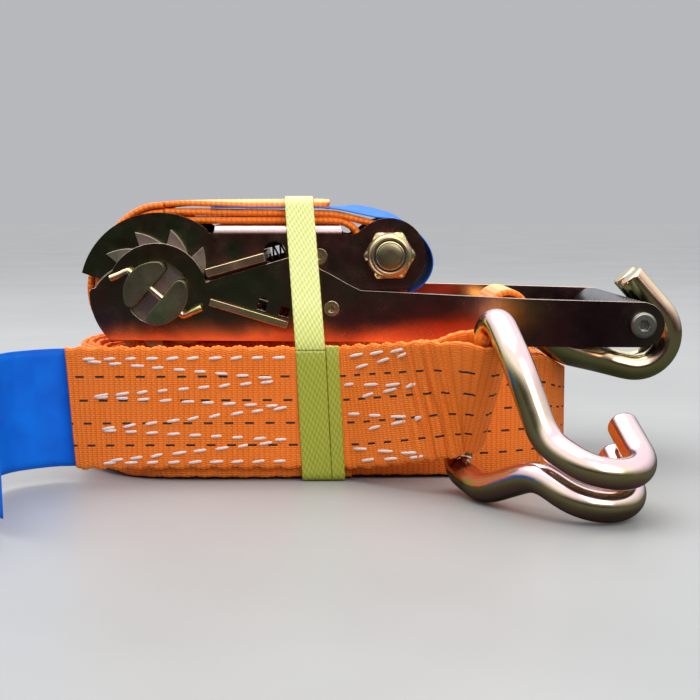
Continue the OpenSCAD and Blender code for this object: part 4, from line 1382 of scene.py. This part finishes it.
# ------------------------------------------------------------------ stage, light and camera
def make_floor():
    """A pale floor that looks dark in reflections."""
    me = bpy.data.meshes.new("floor")
    me.from_pydata([(-6, -3, 0), (6, -3, 0), (6, 9, 0), (-6, 9, 0)], [], [(0, 1, 2, 3)])
    floor = bpy.data.objects.new("floor", me)
    bpy.context.scene.collection.objects.link(floor)
    material, sh = new_material("floor_pale")
    cloud = sh.noise(Vector=sh.coord(), Scale=6.0, Detail=4.0)
    colour = sh.ramp(cloud, [(0.3, (0.285, 0.29, 0.292)), (0.7, (0.325, 0.33, 0.332))])
    sh.surface({"Base Color": colour, "Roughness": 0.42})
    glossy = sh.node("LightPath").outputs["Is Glossy Ray"]
    dark = sh.node("BsdfDiffuse", Color=(0.055, 0.055, 0.055))
    either = sh.node("MixShader", Fac=glossy)
    sh.put(sh.bsdf.outputs["BSDF"], either.inputs[1])
    sh.put(dark.outputs["BSDF"], either.inputs[2])
    sh.put(either.outputs[0], sh.out.inputs["Surface"])
    me.materials.append(material)
    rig.stage(floor)


def make_world():
    """A bright sky, dimmed low down on the near side; the camera itself sees plain grey."""
    world = bpy.data.worlds.new("studio")
    bpy.context.scene.world = world
    world.use_nodes = True
    sh = Shader(world.node_tree)
    out = sh.node("OutputWorld")
    lit = sh.node("Background", Strength=1.0)
    seen = sh.node("Background", Color=(0.47, 0.48, 0.50), Strength=1.0)
    either = sh.node("MixShader")
    camera_ray = sh.node("LightPath").outputs["Is Camera Ray"]
    _, y, z = sh.split(sh.coord("Generated"))
    # directions run from -1 to 1, so they are halved and shifted to fit the ramps
    sky = sh.ramp(sh.mul_add(z, 0.5, 0.5), [
        (0.0, (0.10, 0.10, 0.10)), (0.49, (0.16, 0.16, 0.17)), (0.53, (0.30, 0.31, 0.33)),
        (0.64, (0.80, 0.82, 0.86)), (0.80, (1.35, 1.35, 1.35))])
    near_dim = sh.ramp(sh.mul_add(y, 0.5, 0.5), [
        (0.0, (0.10, 0.09, 0.085)), (0.22, (0.22, 0.21, 0.20)), (0.6, WHITE)])
    low = sh.ramp(z, [(0.18, WHITE), (0.50, BLACK)])
    dim = sh.mix(low, WHITE, near_dim)
    sh.put(sh.mix(1.0, sky, dim, "MULTIPLY"), lit.inputs["Color"])
    sh.put(camera_ray, either.inputs["Fac"])
    sh.put(lit.outputs[0], either.inputs[1])
    sh.put(seen.outputs[0], either.inputs[2])
    sh.put(either.outputs[0], out.inputs["Surface"])


def area_light(name, location, target, size, power, colour):
    light = bpy.data.lights.new(name, "AREA")
    light.shape = "RECTANGLE"
    light.size = light.size_y = size
    light.energy = power
    light.color = colour
    o = bpy.data.objects.new(name, light)
    bpy.context.scene.collection.objects.link(o)
    o.location = location
    o.rotation_mode = "QUATERNION"
    o.rotation_quaternion = (Vector(target) - Vector(location)).to_track_quat("-Z", "Y")


def make_camera():
    """Just off the object's middle, turned a little to +X and tilted down."""
    data = bpy.data.cameras.new("camera")
    camera = bpy.data.objects.new("camera", data)
    bpy.context.scene.collection.objects.link(camera)
    bpy.context.scene.camera = camera
    data.sensor_width = 36.0
    data.lens = 70.7
    data.clip_start, data.clip_end = 0.01, 100
    camera.location = (-0.0035, -0.607, 0.1104)
    yaw, pitch = math.radians(1.33), math.radians(5.9)
    forward = Vector((math.sin(yaw) * math.cos(pitch), math.cos(yaw) * math.cos(pitch),
                      -math.sin(pitch)))
    camera.rotation_mode = "QUATERNION"
    camera.rotation_quaternion = forward.to_track_quat("-Z", "Y")


make_floor()
make_world()
area_light("key_top", location=(-0.25, 0.25, 1.25), target=(0, 0, 0.05), size=1.3,
           power=17, colour=(1, 0.99, 0.97))
area_light("front_fill", location=(0.5, -1.0, 0.85), target=(0, 0, 0.04), size=0.9,
           power=6.5, colour=(1, 0.98, 0.95))
make_camera()
bpy.context.scene.view_settings.view_transform = "Standard"

low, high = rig.bounds()
# the folder may be missing or read-only, and the model doesn't depend on the file
try:
    with open("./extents.json", "w") as fh:
        json.dump({"cad": [list(CAD_LOW), list(CAD_HIGH)],
                   "visual": [list(low), list(high)]}, fh)
except OSError:
    pass
